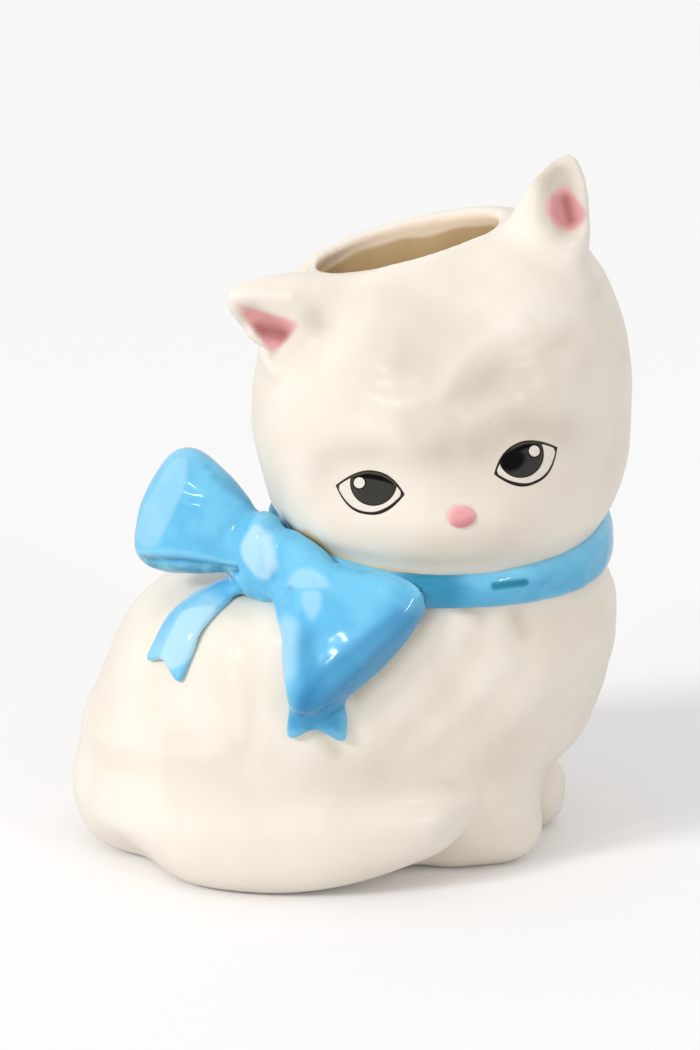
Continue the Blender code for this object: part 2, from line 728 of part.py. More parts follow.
def bow_knot(name, grow=0.0, finish=None):
    centre, axes = knot_frame()
    return pebble(name, centre, axes, [size + grow for size in KNOT_SIZE], KNOT_FULLNESS, finish)


def bow_loop(name, start, reach, width_axis, sections, grow=0.0, finish=None):
    """A puffed loop that fans out from the knot and closes in a soft rounded end."""
    centre = knot_frame()[0] + np.array(start)
    ahead = unit(reach)
    side = unit(np.array(width_axis) - ahead * np.dot(width_axis, ahead))
    out = np.cross(ahead, side)
    rings = []
    for i, (along, half_width, half_thickness) in enumerate(sections):
        shift = grow if i == len(sections) - 1 else 0.0
        middle = centre + ahead * (along + shift)
        sizes = (half_width + grow, half_thickness + grow)
        rings.append(oval(middle, side, out, *sizes, LOOP_FULLNESS, LOOP_SIDES))
    return skin(name, rings, finish)


def ribbon_end(name, torso, route, finish):
    """A ribbon end laid on the torso: a domed strip with a swallowtail."""
    table = np.array(route)
    levels = spaced(0.0, len(table) - 1.0, 2 * len(table))
    rows = [smooth_row(table, level) for level in levels]
    spine = [on_torso(torso, angle, NECK_HEIGHT - drop) for angle, drop, _ in rows]
    top, bottom = [], []
    for i, (angle, drop, half_width) in enumerate(rows):
        level = torso.level_at(NECK_HEIGHT - drop)
        out = torso.normal(angle, level)
        ahead = unit(spine[min(i + 1, len(spine) - 1)] - spine[max(i - 1, 0)])
        side = unit(np.cross(ahead, out))
        # the last two rows make the swallowtail
        notch = END_NOTCH * max(0.0, (i - len(rows) + 3) / 2)
        upper, lower = [], []
        for across, cut_back in END_COLUMNS:
            foot = spine[i] + side * (half_width * across) - ahead * (notch * cut_back)
            at = nearest(torso, foot, angle, level)
            rise = END_EDGE + (END_THICKNESS - END_EDGE) * (1.0 - across**2)
            upper.append(torso.offset(*at, rise))
            lower.append(torso.offset(*at, SEAM))
        top.append(upper)
        bottom.append(lower)
    rings = [upper + list(reversed(lower)) for upper, lower in zip(top, bottom)]
    return strip(name, rings, finish)


def strip(name, rings, finish):
    """Like skin, but its ends are closed by a row of faces across, so they can be notched."""
    shape = bmesh.new()
    rows = [[shape.verts.new(Vector(p)) for p in ring] for ring in rings]
    sides = len(rows[0])
    for low, high in zip(rows, rows[1:]):
        for i in range(sides):
            j = (i + 1) % sides
            shape.faces.new((low[i], low[j], high[j], high[i]))
    for row in (rows[0], rows[-1]):
        for i in range(sides // 2 - 1):
            shape.faces.new((row[i], row[i + 1], row[sides - 2 - i], row[sides - 1 - i]))
    return solid(name, shape, finish)


def main():
    for old in list(bpy.data.objects):
        bpy.data.objects.remove(old)

    ivory = material("ivory glaze", "F1E6D6", 0.20)
    blue = material("blue glaze", "6CC4EE", 0.08)
    pink = material("pink glaze", "E59FA0", 0.30)
    black = material("black transfer", "2B2A28", 0.20)
    white = material("white transfer", "EFE8DC", 0.20)

    torso, head = torso_form(), head_form()
    body_shell(torso, ivory)
    head_shell(head, ivory)
    on_body = torso_seat(torso)
    on_skull = head_outside("head seat", head, SEAM)

    for row in EARS:
        cut(ear(head, ivory, *row), on_skull)
    cut(nose(head, pink), on_skull)
    film = head_outside("film face", head, SEAM + PRINT_FILM)
    for eye in EYES:
        eye_prints(head, eye, on_skull, film, black, white)

    cut(tail("tail", torso, finish=ivory), on_body)
    on_tail = tail("tail seat", torso, grow=SEAM)
    for row in PAWS:
        cut(paw(torso, ivory, *row), on_body, on_tail)

    on_neck = neck_core(torso, head)
    cut(neck_band("neck_ribbon", finish=blue), on_neck)
    on_band = neck_band("band seat", grow=SEAM)
    around = (on_band, on_neck, on_body, on_skull)
    cut(bow_knot("bow_knot", finish=blue), *around)
    on_knot = bow_knot("knot seat", grow=SEAM)
    rear = (REAR_LOOP_START, REAR_LOOP_REACH, REAR_LOOP_WIDTH_AXIS, REAR_LOOP)
    front = (FRONT_LOOP_START, FRONT_LOOP_REACH, FRONT_LOOP_WIDTH_AXIS, FRONT_LOOP)
    cut(bow_loop("rear_bow_loop", *rear, finish=blue), on_knot, *around)
    cut(bow_loop("front_bow_loop", *front, finish=blue), on_knot, *around)
    on_rear = bow_loop("rear loop seat", *rear, grow=SEAM)
    on_front = bow_loop("front loop seat", *front, grow=SEAM)
    cut(ribbon_end("rear_ribbon_end", torso, REAR_END_ROUTE, blue), on_band, on_knot, on_rear)
    cut(ribbon_end("front_ribbon_end", torso, FRONT_END_ROUTE, blue), on_knot, on_front)


if __name__ == "__main__":
    main()
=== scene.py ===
"""Looks of the kitten vase: earthenware pieces luted into one body, hand-worked, glazed and fired.

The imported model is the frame. Its pieces are copied, welded and fused where a potter smooths the
joints with slip: the torso with tail and paws, the head with its ears, and the bow with its loops
and ends. The fused skins are then worked as the real one was, with combed fur and soft dents, and
carry the masks that the glazes read. The eyes are fired transfers, laid over the head in layers.

Lengths are in metres, or in millimetres where a name or its comment says so. "Left" and "right" are the
kitten's own.
"""

import math

import bmesh
import bpy
import numpy as np
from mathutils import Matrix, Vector
from mathutils.bvhtree import BVHTree


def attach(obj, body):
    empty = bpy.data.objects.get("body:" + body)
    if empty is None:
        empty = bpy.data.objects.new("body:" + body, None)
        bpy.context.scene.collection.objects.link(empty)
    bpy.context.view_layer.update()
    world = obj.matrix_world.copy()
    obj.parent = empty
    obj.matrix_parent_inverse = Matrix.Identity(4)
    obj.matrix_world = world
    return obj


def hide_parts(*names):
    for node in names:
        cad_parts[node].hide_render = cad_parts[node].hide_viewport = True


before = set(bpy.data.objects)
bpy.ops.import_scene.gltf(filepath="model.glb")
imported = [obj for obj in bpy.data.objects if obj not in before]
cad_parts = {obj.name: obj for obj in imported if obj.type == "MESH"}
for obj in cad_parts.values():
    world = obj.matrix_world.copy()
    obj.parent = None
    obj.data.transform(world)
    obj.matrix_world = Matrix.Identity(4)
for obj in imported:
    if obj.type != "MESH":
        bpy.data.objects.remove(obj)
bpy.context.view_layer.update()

MM = 0.001

# Camera and light, from the photograph
CAMERA_TARGET = (0.0, 0.0, 0.098)
CAMERA_ELEVATION = 18.0
CAMERA_DISTANCE = 1.15
CAMERA_LENS = 134.06  # with a 36 mm sensor on the picture's long side
FLOOR_HALF = 6.0
KEY_FROM = (-0.72, -0.48, 0.50)  # a large round softbox, far off
KEY_SPREAD = 13.0  # degrees across, as the vase sees it
KEY_STRENGTH = 1.25
SPARK_AIM = (0.0, 0.0, 0.11)
SPARK_WATTS = 1.2
# Small lamps that give the glaze its sparks: place, width and height
SPARKS = {
    "left spark": ((-0.75, -0.95, 0.85), 0.08, 0.05),
    "right spark": ((0.95, -1.15, 0.80), 0.06, 0.06),
}
WORLD_LIGHT, WORLD_SHOWN = 0.72, 0.93  # on the vase, and to the camera and in reflections

# How the pieces are fused
WELD = 1e-6  # corners nearer than this are one
FLAT_PAIR = 40.0  # degrees within which two triangles become one quad
REFINE = 2  # subdivisions before fusing
SEAT_REACH = 0.6 * MM  # a luted piece's points nearer than this to its seat lie on it
LUTED_DEPTH = 2.0 * MM  # how far they are pressed into it
EASE, EASE_BACK = 0.50, 0.52  # share of the way to its neighbours that a point is eased, and back
# Voxel of each fused skin, and how many rounds it is eased
TORSO_SKIN = (1.20 * MM, 8)
HEAD_SKIN = (0.95 * MM, 8)
BOW_SKIN = (0.60 * MM, 10)
BAND_SKIN = (0.60 * MM, 10)
NOSE_SKIN = (0.22 * MM, 8)
TORSO_JOINTS, HEAD_JOINTS, BOW_JOINTS = 110, 60, 150  # rounds of easing that smooth the joints
AFTER_STROKES = 2  # rounds of easing that soften the tool's marks
BOW_SUNK, BAND_SUNK, NOSE_SUNK = 0.4 * MM, 0.6 * MM, 0.5 * MM  # depths to which these are pressed on

# Hand work on each skin, in the order of these inputs
TOOL = ("Stroke width", "Stroke length", "Stroke depth", "Dent size", "Dent depth", "Seed")
TORSO_WORK = (11 * MM, 34 * MM, 2.4 * MM, 24 * MM, 2.2 * MM, 3.0)
HEAD_WORK = (12 * MM, 22 * MM, 1.2 * MM, 19 * MM, 2.0 * MM, 7.0)
BOW_WORK = (12 * MM, 12 * MM, 0.0, 11 * MM, 1.1 * MM, 2.0)
BAND_WORK = (12 * MM, 12 * MM, 0.0, 10 * MM, 0.8 * MM, 5.0)
FRONT_CALM = 0.55  # how much calmer it is on what faces the viewer, which has strokes of its own
# Rounds of easing over which hollows are measured, for the two ivory skins, the bow and the band
IVORY_HOLLOWS, BOW_HOLLOWS, BAND_HOLLOWS = 14, 24, 20

# The front is worked with strokes that are drawn as the picture shows them: millimetres across
# and up on the plane through the camera's target. A stroke is its path, its half width and how
# far it lifts the skin, or sinks it where negative.
TILT = (math.cos(math.radians(CAMERA_ELEVATION)), math.sin(math.radians(CAMERA_ELEVATION)))
TOWARDS_VIEWER = np.array([0.0, -TILT[0], TILT[1]])
VIEW_UP = np.array([0.0, TILT[1], TILT[0]])
FACING = (0.02, 0.35)  # cosines at which strokes and paint on the front begin, and are full

HEAD_STROKES = (
    # ridge across the brow, and the hollow that follows it
    (((26.8, 37.4), (30.9, 45.6), (36.2, 51.5), (41.5, 55.3), (50.0, 59.0)), 3.2, 0.62),
    (((20.2, 28.2), (27.6, 33.8), (38.5, 39.4), (46.8, 44.7), (57.9, 48.8), (66.7, 55.4)), 4.4, -0.62),
    (((14.5, 35.0), (22.1, 36.8)), 2.8, 0.35),
    # soft hollows higher on the forehead
    (((3.5, 42.6), (10.3, 41.2), (15.6, 41.6)), 4.4, -0.55),
    (((3.5, 34.3), (8.5, 31.5), (15.8, 30.7)), 3.6, -0.35),
    (((17.5, 47.6), (22.5, 50.9)), 4.0, -0.45),
    (((17.8, 56.2), (24.3, 58.5), (31.3, 57.5)), 4.2, -0.42),
    (((12.0, 66.0), (19.0, 67.4)), 4.4, -0.35),
    # lump over the left eye, dip between the eyes, edge of the right eye's socket, cheek
    (((35.9, 31.2), (44.1, 35.3), (49.7, 36.8)), 4.0, 0.55),
    (((30.3, 27.0), (31.0, 21.8), (30.2, 17.8)), 4.0, -0.26),
    (((-8.4, 13.0), (-7.0, 18.2), (-2.0, 20.4), (6.1, 21.6)), 4.4, -0.62),
    (((4.4, 1.5), (19.1, 0.0)), 7.1, 0.45),
    (((32.0, -6.6), (38.0, -5.0)), 4.2, -0.30),
    # dents down the left cheek
    (((74.7, 16.2), (75.4, 17.8)), 3.8, -0.40),
    (((72.0, 66.5), (73.6, 69.5)), 2.0, -0.45),
    (((79.1, 50.9), (79.7, 44.4)), 2.8, -0.40),
    # foot of the right ear
    (((-9.6, 61.8), (-8.9, 59.6)), 3.2, -0.80),
    # scoop of the right ear, its rims, and the corner where it runs down the head
    (((-28.5, 60.6), (-21.5, 56.2)), 3.4, -1.90),
    (((-25.9, 56.6), (-19.8, 55.2)), 1.0, -0.50),
    (((-34.0, 67.2), (-25.9, 68.0), (-17.6, 67.2)), 1.5, 0.85),
    (((-28.8, 56.0), (-25.0, 50.0), (-22.2, 45.4)), 2.4, 1.50),
    # scoop of the left ear, its rims, and the crease in it
    (((60.6, 101.5), (62.6, 96.0), (64.6, 89.4)), 3.8, -2.00),
    (((61.2, 92.1), (64.4, 88.8), (66.4, 88.2)), 0.8, -0.45),
    (((69.8, 101.0), (71.6, 94.0), (71.0, 87.5)), 1.8, 0.50),
    (((53.0, 97.5), (57.5, 106.0), (62.0, 110.5)), 2.2, 0.45),
)
# Painted shade on the head, greyer over the brow, round the eyes and under the chin, as seen: a path, its
# half width and its share
HEAD_WASH = (
    (((19.0, 50.0), (30.0, 43.0), (39.0, 38.0), (34.0, 26.0)), 17.0, 0.38),
    (((29.0, 30.0), (28.0, 12.0)), 9.0, 0.08),
    (((34.0, 42.0), (44.0, 40.0)), 9.0, 0.10),
    (((44.0, 47.0), (60.0, 47.0)), 10.0, 0.20),
    (((8.0, -3.0), (30.0, -7.0), (46.0, -6.0)), 7.0, 0.28),
    (((-7.0, 18.5), (4.0, 21.0), (16.0, 19.5), (26.0, 20.5)), 4.6, 0.34),
    (((38.0, 22.5), (49.0, 29.5), (62.0, 28.0)), 6.0, 0.52),
    (((-14.0, 66.0), (-9.0, 60.0)), 4.6, 0.26),
)
# Painted shade in each ear's scoop and under its rim, on the ear alone, so that it stays off the head
# behind it
EAR_WASH = {
    "right_ear": (
        (((-33.0, 63.6), (-23.5, 49.0)), 2.6, 0.34),
        (((-30.0, 65.6), (-17.0, 63.0), (-13.5, 60.0)), 2.6, 0.18),
    ),
    "left_ear": (
        (((56.5, 101.0), (57.0, 92.0), (61.5, 86.5)), 3.4, 0.60),
        (((60.8, 104.5), (63.5, 98.0)), 3.6, 0.60),
    ),
}
WASH_OF_STROKE = 0.23  # share of painted shade for each millimetre that a stroke on the head sinks
FULL_WASH = 0.9
BODY_STROKES = (
    # roll and crease of the haunch, with a hollow under them
    (((-36.5, -37.4), (-32.4, -48.5), (-32.9, -61.8)), 3.0, 0.28),
    (((-32.4, -36.2), (-28.2, -48.5), (-27.6, -59.7), (-30.6, -69.7)), 3.0, -0.32),
    (((-31.2, -66.8), (-22.1, -71.5)), 4.1, -0.34),
    # locks combed down the chest
    (((30.9, -33.8), (22.6, -46.9), (11.8, -58.9), (2.6, -65.8)), 4.4, 0.30),
    (((38.2, -37.2), (32.5, -48.1), (21.1, -60.3), (10.8, -71.8)), 4.0, -0.32),
    (((46.7, -40.7), (38.4, -49.1), (33.1, -56.6)), 4.0, 0.24),
    (((52.2, -42.2), (45.2, -47.9), (39.0, -56.6)), 3.8, -0.30),
    (((31.0, -62.6), (24.1, -69.5)), 4.2, -0.30),
    (((56.9, -50.5), (48.2, -59.7)), 4.2, 0.26),
    (((42.2, -65.7), (36.3, -69.7)), 4.2, 0.24),
    (((61.4, -50.5), (55.4, -61.9), (46.2, -70.8)), 4.4, -0.26),
    (((47.6, -27.4), (50.6, -32.1)), 3.4, -0.35),
    (((34.0, -24.6), (38.6, -27.6)), 2.8, -0.32),
    # lump on the rump, and dips over the tail
    (((-73.5, -61.8), (-70.6, -63.8)), 5.3, 0.45),
    (((-70.1, -70.2), (-54.4, -71.9), (-36.4, -74.0)), 4.2, -0.30),
    (((-57.4, -64.4), (-42.6, -63.6)), 3.4, -0.35),
)
# Painted shadow and shade on the body: the front loop's cast shadow along its edge, shade under the band,
# and shadow under the front ribbon end
BODY_WASH = (
    (((23.5, -24.5), (19.5, -31.8), (9.6, -42.9), (1.8, -50.0)), 2.4, 0.90),
    (((34.6, -24.4), (38.8, -27.8)), 2.4, 0.52),
    (((48.4, -26.0), (51.0, -32.0)), 2.4, 0.45),
    (((-7.8, -63.0), (-4.5, -66.5)), 2.6, 0.55),
)
BOW_STROKES = (
    # dent in the rear loop, with a bump beside it
    (((-51.2, 10.6), (-46.5, 8.8), (-40.6, 7.1)), 1.8, -0.24),
    (((-50.6, 7.6), (-41.8, 4.7)), 2.2, 0.12),
    (((-37.6, 12.1), (-32.9, 8.2)), 2.4, 0.25),
    # lip along the rear loop's lower edge, and the layer that steps back under it
    (((-61.8, -8.2), (-55.9, -7.9), (-49.4, -8.2), (-41.8, -9.7), (-34.7, -11.5)), 1.0, 0.40),
    (((-61.8, -10.6), (-55.9, -10.6), (-49.4, -10.9), (-41.8, -12.1), (-34.1, -13.2)), 1.3, -1.00),
    # crease along the rear loop's top
    (((-42.1, 17.4), (-34.7, 12.6), (-25.9, 5.0)), 1.0, -0.25),
    # soft ridge where the front loop's face turns to its end, and its left edge
    (((20.6, -22.1), (13.5, -27.9), (2.4, -35.6), (-5.9, -42.1), (-11.2, -49.1)), 3.4, 0.45),
    (((-13.8, -33.1), (-15.6, -41.3), (-16.8, -47.5)), 2.4, 0.25),
    # folds that run out of the knot
    (((-15.9, -15.8), (-10.0, -22.1), (-8.2, -25.6)), 2.4, 0.25),
    (((-17.6, -19.1), (-15.2, -25.6)), 1.8, -0.25),
    # crease that parts the front end's two tails
    (((-11.6, -59.4), (-11.4, -62.0)), 1.4, -0.35),
)

PATCH_ROUND = 0.8  # the larger, the sharper a painted patch's corners
BUMP_STRENGTH = 0.5  # of the relief that is too fine for the mesh

# Masks are stored on the skins under these names
CAVITY, RELIEF, COMB = "cavity", "relief", "comb"


def unit(vector):
    vector = np.asarray(vector, float)
    return vector / np.linalg.norm(vector)


def smooth_step(values, low, high):
    share = np.clip((values - low) / (high - low), 0.0, 1.0)
    return share * share * (3.0 - 2.0 * share)


def bell(values, width):
    return np.exp(-((values / width) ** 2))


# Meshes as arrays


def points_of(mesh):
    flat = np.empty(3 * len(mesh.vertices))
    mesh.vertices.foreach_get("co", flat)
    return flat.reshape(-1, 3)


def normals_of(mesh):
    flat = np.empty(3 * len(mesh.vertices), np.float32)
    mesh.vertex_normals.foreach_get("vector", flat)
    return flat.reshape(-1, 3).astype(float)


def edges_of(mesh):
    flat = np.empty(2 * len(mesh.edges), np.int32)
    mesh.edges.foreach_get("vertices", flat)
    return flat.reshape(-1, 2)


def move_points(mesh, points):
    mesh.vertices.foreach_set("co", points.astype(np.float32).ravel())
    mesh.update()


def seen(points):
    """Where points appear from the front, in millimetres across and up."""
    away = points - np.array(CAMERA_TARGET)
    scale = CAMERA_DISTANCE / (CAMERA_DISTANCE - away @ TOWARDS_VIEWER) / MM
    return np.stack([away[:, 0] * scale, (away @ VIEW_UP) * scale], 1)


def from_path(flat, path):
    """Distance from each flat point to a path of one point or more."""
    nearest = np.linalg.norm(flat - np.array(path[0]), axis=1)
    for start, end in zip(path, path[1:]):
        start, along = np.array(start), np.array(end) - np.array(start)
        share = np.clip((flat - start) @ along / (along @ along), 0.0, 1.0)
        nearest = np.minimum(nearest, np.linalg.norm(flat - start - share[:, None] * along, axis=1))
    return nearest


def in_patch(flat, corners, feather):
    """1 inside a patch with outward corners, which are rounded, fading to 0 over its edge."""
    corners = np.array(corners)
    middle = corners.mean(0)
    crowd = np.zeros(len(flat))
    for start, end in zip(corners, np.roll(corners, -1, axis=0)):
        along = unit(end - start)
        inward = np.array([-along[1], along[0]])
        if (middle - start) @ inward < 0:
            inward = -inward
        crowd += np.exp(np.clip(-PATCH_ROUND * ((flat - start) @ inward), -50.0, 50.0))
    return smooth_step(-np.log(crowd) / PATCH_ROUND, -feather, feather)


def facing(normals):
    return smooth_step(normals @ TOWARDS_VIEWER, *FACING)


def brushed(flat, path, width):
    """How strongly a soft tool, drawn along a path, touches each flat point."""
    return bell(from_path(flat, path), width)


def added(flat, strokes):
    """The amounts of all strokes, added up at each flat point."""
    return sum(amount * brushed(flat, path, width) for path, width, amount in strokes)


def strongest(flat, strokes):
    """The largest amount of any stroke at each flat point."""
    return np.max([amount * brushed(flat, path, width) for path, width, amount in strokes], axis=0)


def stroked(points, normals, strokes):
    """Points after the modelling tool's strokes on what faces the viewer."""
    lift = added(seen(points), strokes) * facing(normals) * MM
    return points + normals * lift[:, None]


def store(mesh, name, values):
    """A number or a vector for each point, which materials and node trees read by name."""
    vectors = np.ndim(values) == 2
    kind = "FLOAT_VECTOR" if vectors else "FLOAT"
    layer = mesh.attributes.new(name, kind, "POINT")
    layer.data.foreach_set("vector" if vectors else "value", np.asarray(values, np.float32).ravel())


def store_masks(mesh, **masks):
    """Stores each mask under its name. A single number holds for every point."""
    for name, values in masks.items():
        store(mesh, name, np.broadcast_to(values, len(mesh.vertices)))


def averaged(values, edges):
    """Each point's mean over its neighbours."""
    a, b = edges.T
    count = np.bincount(edges.ravel(), minlength=len(values))
    columns = []
    for column in values.T:
        total = np.bincount(a, column[b], len(values)) + np.bincount(b, column[a], len(values))
        columns.append(total / np.maximum(count, 1))
    return np.stack(columns, 1)


def relaxed(points, edges, rounds, weights=1.0, keep=True):
    """Points eased towards their neighbours. With keep, each round then pushes back, so that nothing
    shrinks."""
    weights = np.broadcast_to(weights, len(points))[:, None]
    for _ in range(rounds):
        points = points + EASE * weights * (averaged(points, edges) - points)
        if keep:
            points = points - EASE_BACK * weights * (averaged(points, edges) - points)
    return points


def cavity(points, normals, edges, rounds):
    """How far the skin round each point stands above it, in millimetres: hollows are positive."""
    return np.sum((relaxed(points, edges, rounds, keep=False) - points) * normals, axis=1) / MM


def distances(points, tree, reach):
    """Distance from each point to a surface, up to a reach."""
    found = np.full(len(points), reach)
    for i, point in enumerate(points):
        hit = tree.find_nearest(Vector(point), reach)
        if hit[0] is not None:
            found[i] = hit[3]
    return found


def clear_of(points, tree, near, far):
    """0 closer to a surface than one distance in millimetres, rising to 1 at another."""
    return smooth_step(distances(points, tree, far * MM), near * MM, far * MM)


def tree_of(*shapes):
    """One search tree over several bmeshes."""
    corners, faces = [], []
    for shape in shapes:
        first = len(corners)
        shape.verts.index_update()
        corners += [v.co.copy() for v in shape.verts]
        faces += [[first + v.index for v in face.verts] for face in shape.faces]
    return BVHTree.FromPolygons(corners, faces)


# Pieces


def node_shape(name):
    """A CAD node as a welded bmesh, with its flat pairs of triangles made quads again."""
    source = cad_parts[name].data
    source.calc_loop_triangles()
    shape = bmesh.new()
    corners = [shape.verts.new(v.co) for v in source.vertices]
    for triangle in source.loop_triangles:
        shape.faces.new([corners[i] for i in triangle.vertices])
    bmesh.ops.remove_doubles(shape, verts=shape.verts, dist=WELD)
    flat = math.radians(FLAT_PAIR)
    bmesh.ops.join_triangles(
        shape, faces=shape.faces, angle_face_threshold=flat, angle_shape_threshold=2 * flat
    )
    return shape


def press_in(shape, seats, reach=SEAT_REACH, depth=LUTED_DEPTH):
    """Presses the side of a piece that faces its seats into them, as it is luted on."""
    for vertex in shape.verts:
        for seat in seats:
            _, normal, _, gap = seat.find_nearest(vertex.co, reach)
            if normal is not None:
                vertex.co -= normal * (gap + depth)
    return shape


def roll_of_clay(start, end, radius):
    """An ellipsoid between two points, as a bmesh."""
    start, end = Vector(start), Vector(end)
    shape = bmesh.new()
    bmesh.ops.create_icosphere(shape, subdivisions=3, radius=1.0)
    turn = (end - start).to_track_quat("Z", "Y")
    length = (end - start).length / 2 + radius
    for vertex in shape.verts:
        local = Vector((vertex.co.x * radius, vertex.co.y * radius, vertex.co.z * length))
        vertex.co = (start + end) / 2 + turn @ local
    return shape


def new_object(name, data):
    made = bpy.data.objects.new(name, data)
    bpy.context.scene.collection.objects.link(made)
    return made


def settle(piece):
    """Applies the piece's modifiers to its mesh."""
    bpy.context.view_layer.update()
    graph = bpy.context.evaluated_depsgraph_get()
    mesh = bpy.data.meshes.new_from_object(piece.evaluated_get(graph))
    before = piece.data
    piece.modifiers.clear()
    piece.data = mesh
    bpy.data.meshes.remove(before)
    return piece


def subdivided(shape):
    """A bmesh after subdivision, as a mesh."""
    mesh = bpy.data.meshes.new("refined")
    shape.to_mesh(mesh)
    piece = new_object("refined", mesh)
    smooth = piece.modifiers.new("Refine", "SUBSURF")
    smooth.levels = smooth.render_levels = REFINE
    settle(piece)
    mesh = piece.data
    bpy.data.objects.remove(piece)
    return mesh


def fused(name, parts, voxel, rounds):
    """One closed skin round several overlapping parts: (piece, its edges, its points once eased)."""
    whole = bmesh.new()
    for part in parts:
        whole.from_mesh(subdivided(part))
    mesh = bpy.data.meshes.new(name)
    whole.to_mesh(mesh)
    whole.free()
    piece = new_object(name, mesh)
    remesh = piece.modifiers.new("Fuse", "REMESH")
    remesh.mode = "VOXEL"
    remesh.voxel_size = voxel
    mesh = settle(piece).data
    edges = edges_of(mesh)
    return piece, edges, relaxed(points_of(mesh), edges, rounds)


def finish_piece(piece, glaze, slot, *nodes):
    """Shades a piece smooth, gives it its glaze and ties it to the frame."""
    piece.data.name = piece.name
    piece.data.shade_smooth()
    piece.data.materials.clear()
    piece.data.materials.append(glaze)
    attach(piece, "root")
    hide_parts(*nodes)
    return piece


# Nodes of materials and of geometry


def linear(colour):
    """An sRGB colour in six hexadecimal digits, as linear RGBA."""
    srgb = [int(colour[i : i + 2], 16) / 255 for i in (0, 2, 4)]
    return (*[c / 12.92 if c <= 0.04045 else ((c + 0.055) / 1.055) ** 2.4 for c in srgb], 1.0)


def fill(tree, node, inputs):
    """Sets a node's inputs. Each is a value, an output that is linked to it, a colour in six
    hexadecimal digits or, for a number, the name of a mask that is stored on the skin."""
    for key, value in inputs.items():
        socket = node.inputs[key]
        if isinstance(value, str) and socket.type == "RGBA":
            value = linear(value)
        elif isinstance(value, str) and socket.type == "VALUE":
            value = add(tree, "ShaderNodeAttribute", attribute_name=value).outputs["Fac"]
        if isinstance(value, bpy.types.NodeSocket):
            tree.links.new(value, socket)
        else:
            socket.default_value = value
    return node


def add(tree, kind, inputs=None, **settings):
    """Adds a node with its settings and links."""
    node = tree.nodes.new(kind)
    for key, value in settings.items():
        setattr(node, key, value)
    return fill(tree, node, inputs or {})


def new_finish(name):
    """(material, its tree) of an empty finish."""
    made = bpy.data.materials.new(name)
    made.use_nodes = True
    return made, made.node_tree


def fired(made, colour, roughness, ior, relief, depth, coat=None):
    """Gives a finish its colour, roughness, IOR and coat, and relief that is too fine for the mesh,
    with its depth in metres."""
    tree = made.node_tree
    bump = {"Height": relief, "Distance": depth, "Strength": BUMP_STRENGTH}
    bump = add(tree, "ShaderNodeBump", bump)
    looks = {"Base Color": colour, "Roughness": roughness, "IOR": ior, "Normal": bump.outputs[0]}
    fill(tree, tree.nodes["Principled BSDF"], {**looks, **(coat or {})})
    return made


def mottled(tree, size, span=(), detail=2.0, stretch=None):
    """Noise on the piece's own coordinates, with features of a size in metres. Where a span of it is
    given, that is read smoothly as 0 to 1, or as the span's two further numbers."""
    place = add(tree, "ShaderNodeTexCoord").outputs["Object"]
    if stretch:
        place = add(tree, "ShaderNodeMapping", {"Vector": place, "Scale": stretch}).outputs[0]
    inputs = {"Vector": place, "Scale": 1.0 / size, "Detail": detail}
    noise = add(tree, "ShaderNodeTexNoise", inputs).outputs["Fac"]
    if not span:
        return noise
    inputs = dict(enumerate((noise, *span)))
    return add(tree, "ShaderNodeMapRange", inputs, interpolation_type="SMOOTHSTEP").outputs[0]


def layered(tree, colour, *layers):
    """A colour with others laid over it in turn. A layer is its share, its colour and, where the
    share is read smoothly through a span, that span."""
    for share, over, *span in layers:
        if span:
            inputs = dict(enumerate((share, *span)))
            share = add(tree, "ShaderNodeMapRange", inputs, interpolation_type="SMOOTHSTEP").outputs[0]
        mixed = {0: share, 6: colour, 7: over}
        colour = add(tree, "ShaderNodeMix", mixed, data_type="RGBA").outputs[2]
    return colour


def ivory_glaze():
    """Clear, slightly warm glaze on white earthenware, dipped and fired: soft gloss, warmer and darker
    where it pools in the hollows, which also paints in the relief's shade, paler on the crests, greyer
    with painted shade and painted shadow, stained with iron by the bow, warmer and lighter with painted
    light inside the lip, and with underglaze pink rubbed into the ears and round the nose. The inside
    keeps the tan of the clay under thin glaze, and the foot is wiped dry."""
    made, tree = new_finish("clear glaze on white earthenware")
    math_node = "ShaderNodeMath"
    uneven = mottled(tree, 12 * MM, (0.30, 0.70, 0.86, 1.08), 1.0)
    # painted shade and painted shadow, a little uneven
    wash = add(tree, math_node, {0: uneven, 1: "wash"}, operation="MULTIPLY").outputs[0]
    rubbed = {0: mottled(tree, 1.6 * MM, detail=3.0), 1: 0.24, 2: -0.12}
    rubbed = add(tree, math_node, rubbed, operation="MULTIPLY_ADD").outputs[0]
    pink = add(tree, math_node, {0: "pink", 1: rubbed}, operation="ADD").outputs[0]
    pink = add(tree, "ShaderNodeMapRange", {0: pink}, interpolation_type="SMOOTHSTEP").outputs[0]
    pink = add(tree, math_node, {0: pink, 1: "painted"}, operation="MULTIPLY").outputs[0]
    deep = layered(tree, "E2A0A0", ("flush", "A9625D"))
    wall = layered(tree, "CFB387", (mottled(tree, 9 * MM), "BC9C6B"))
    colour = layered(
        tree,
        "F3EADC",
        (mottled(tree, 24 * MM, (0.35, 0.65)), "EEE3D3"),
        # darker in the hollows, where the glaze pools and which also paints in the relief's shade; paler
        # on the crests
        (CAVITY, "D6C4A8", 0.02, 0.34, 0.0, 0.50),
        (CAVITY, "F8F1E7", -0.02, -0.30, 0.0, 0.35),
        # painted shade and painted shadow
        (wash, "C9BDAB"),
        # iron stain by the bow, and painted light inside the lip
        ("amber", "F2CB98"),
        (pink, deep),
        ("tan", wall),
        (mottled(tree, 2.2 * MM, (0.93, 0.94), 0.0), "9A8468"),
        ("dry", "E6D9C4"),
    )
    gloss = mottled(tree, 5 * MM, (0.3, 0.7, 0.32, 0.40))
    rough = add(tree, "ShaderNodeMix", {0: "dry", 2: gloss, 3: 0.85}).outputs[0]
    coat = {"Coat Weight": 0.20, "Coat Roughness": 0.20}
    return fired(made, colour, rough, 1.50, mottled(tree, 2.2 * MM, detail=1.0), 0.008 * MM, coat)


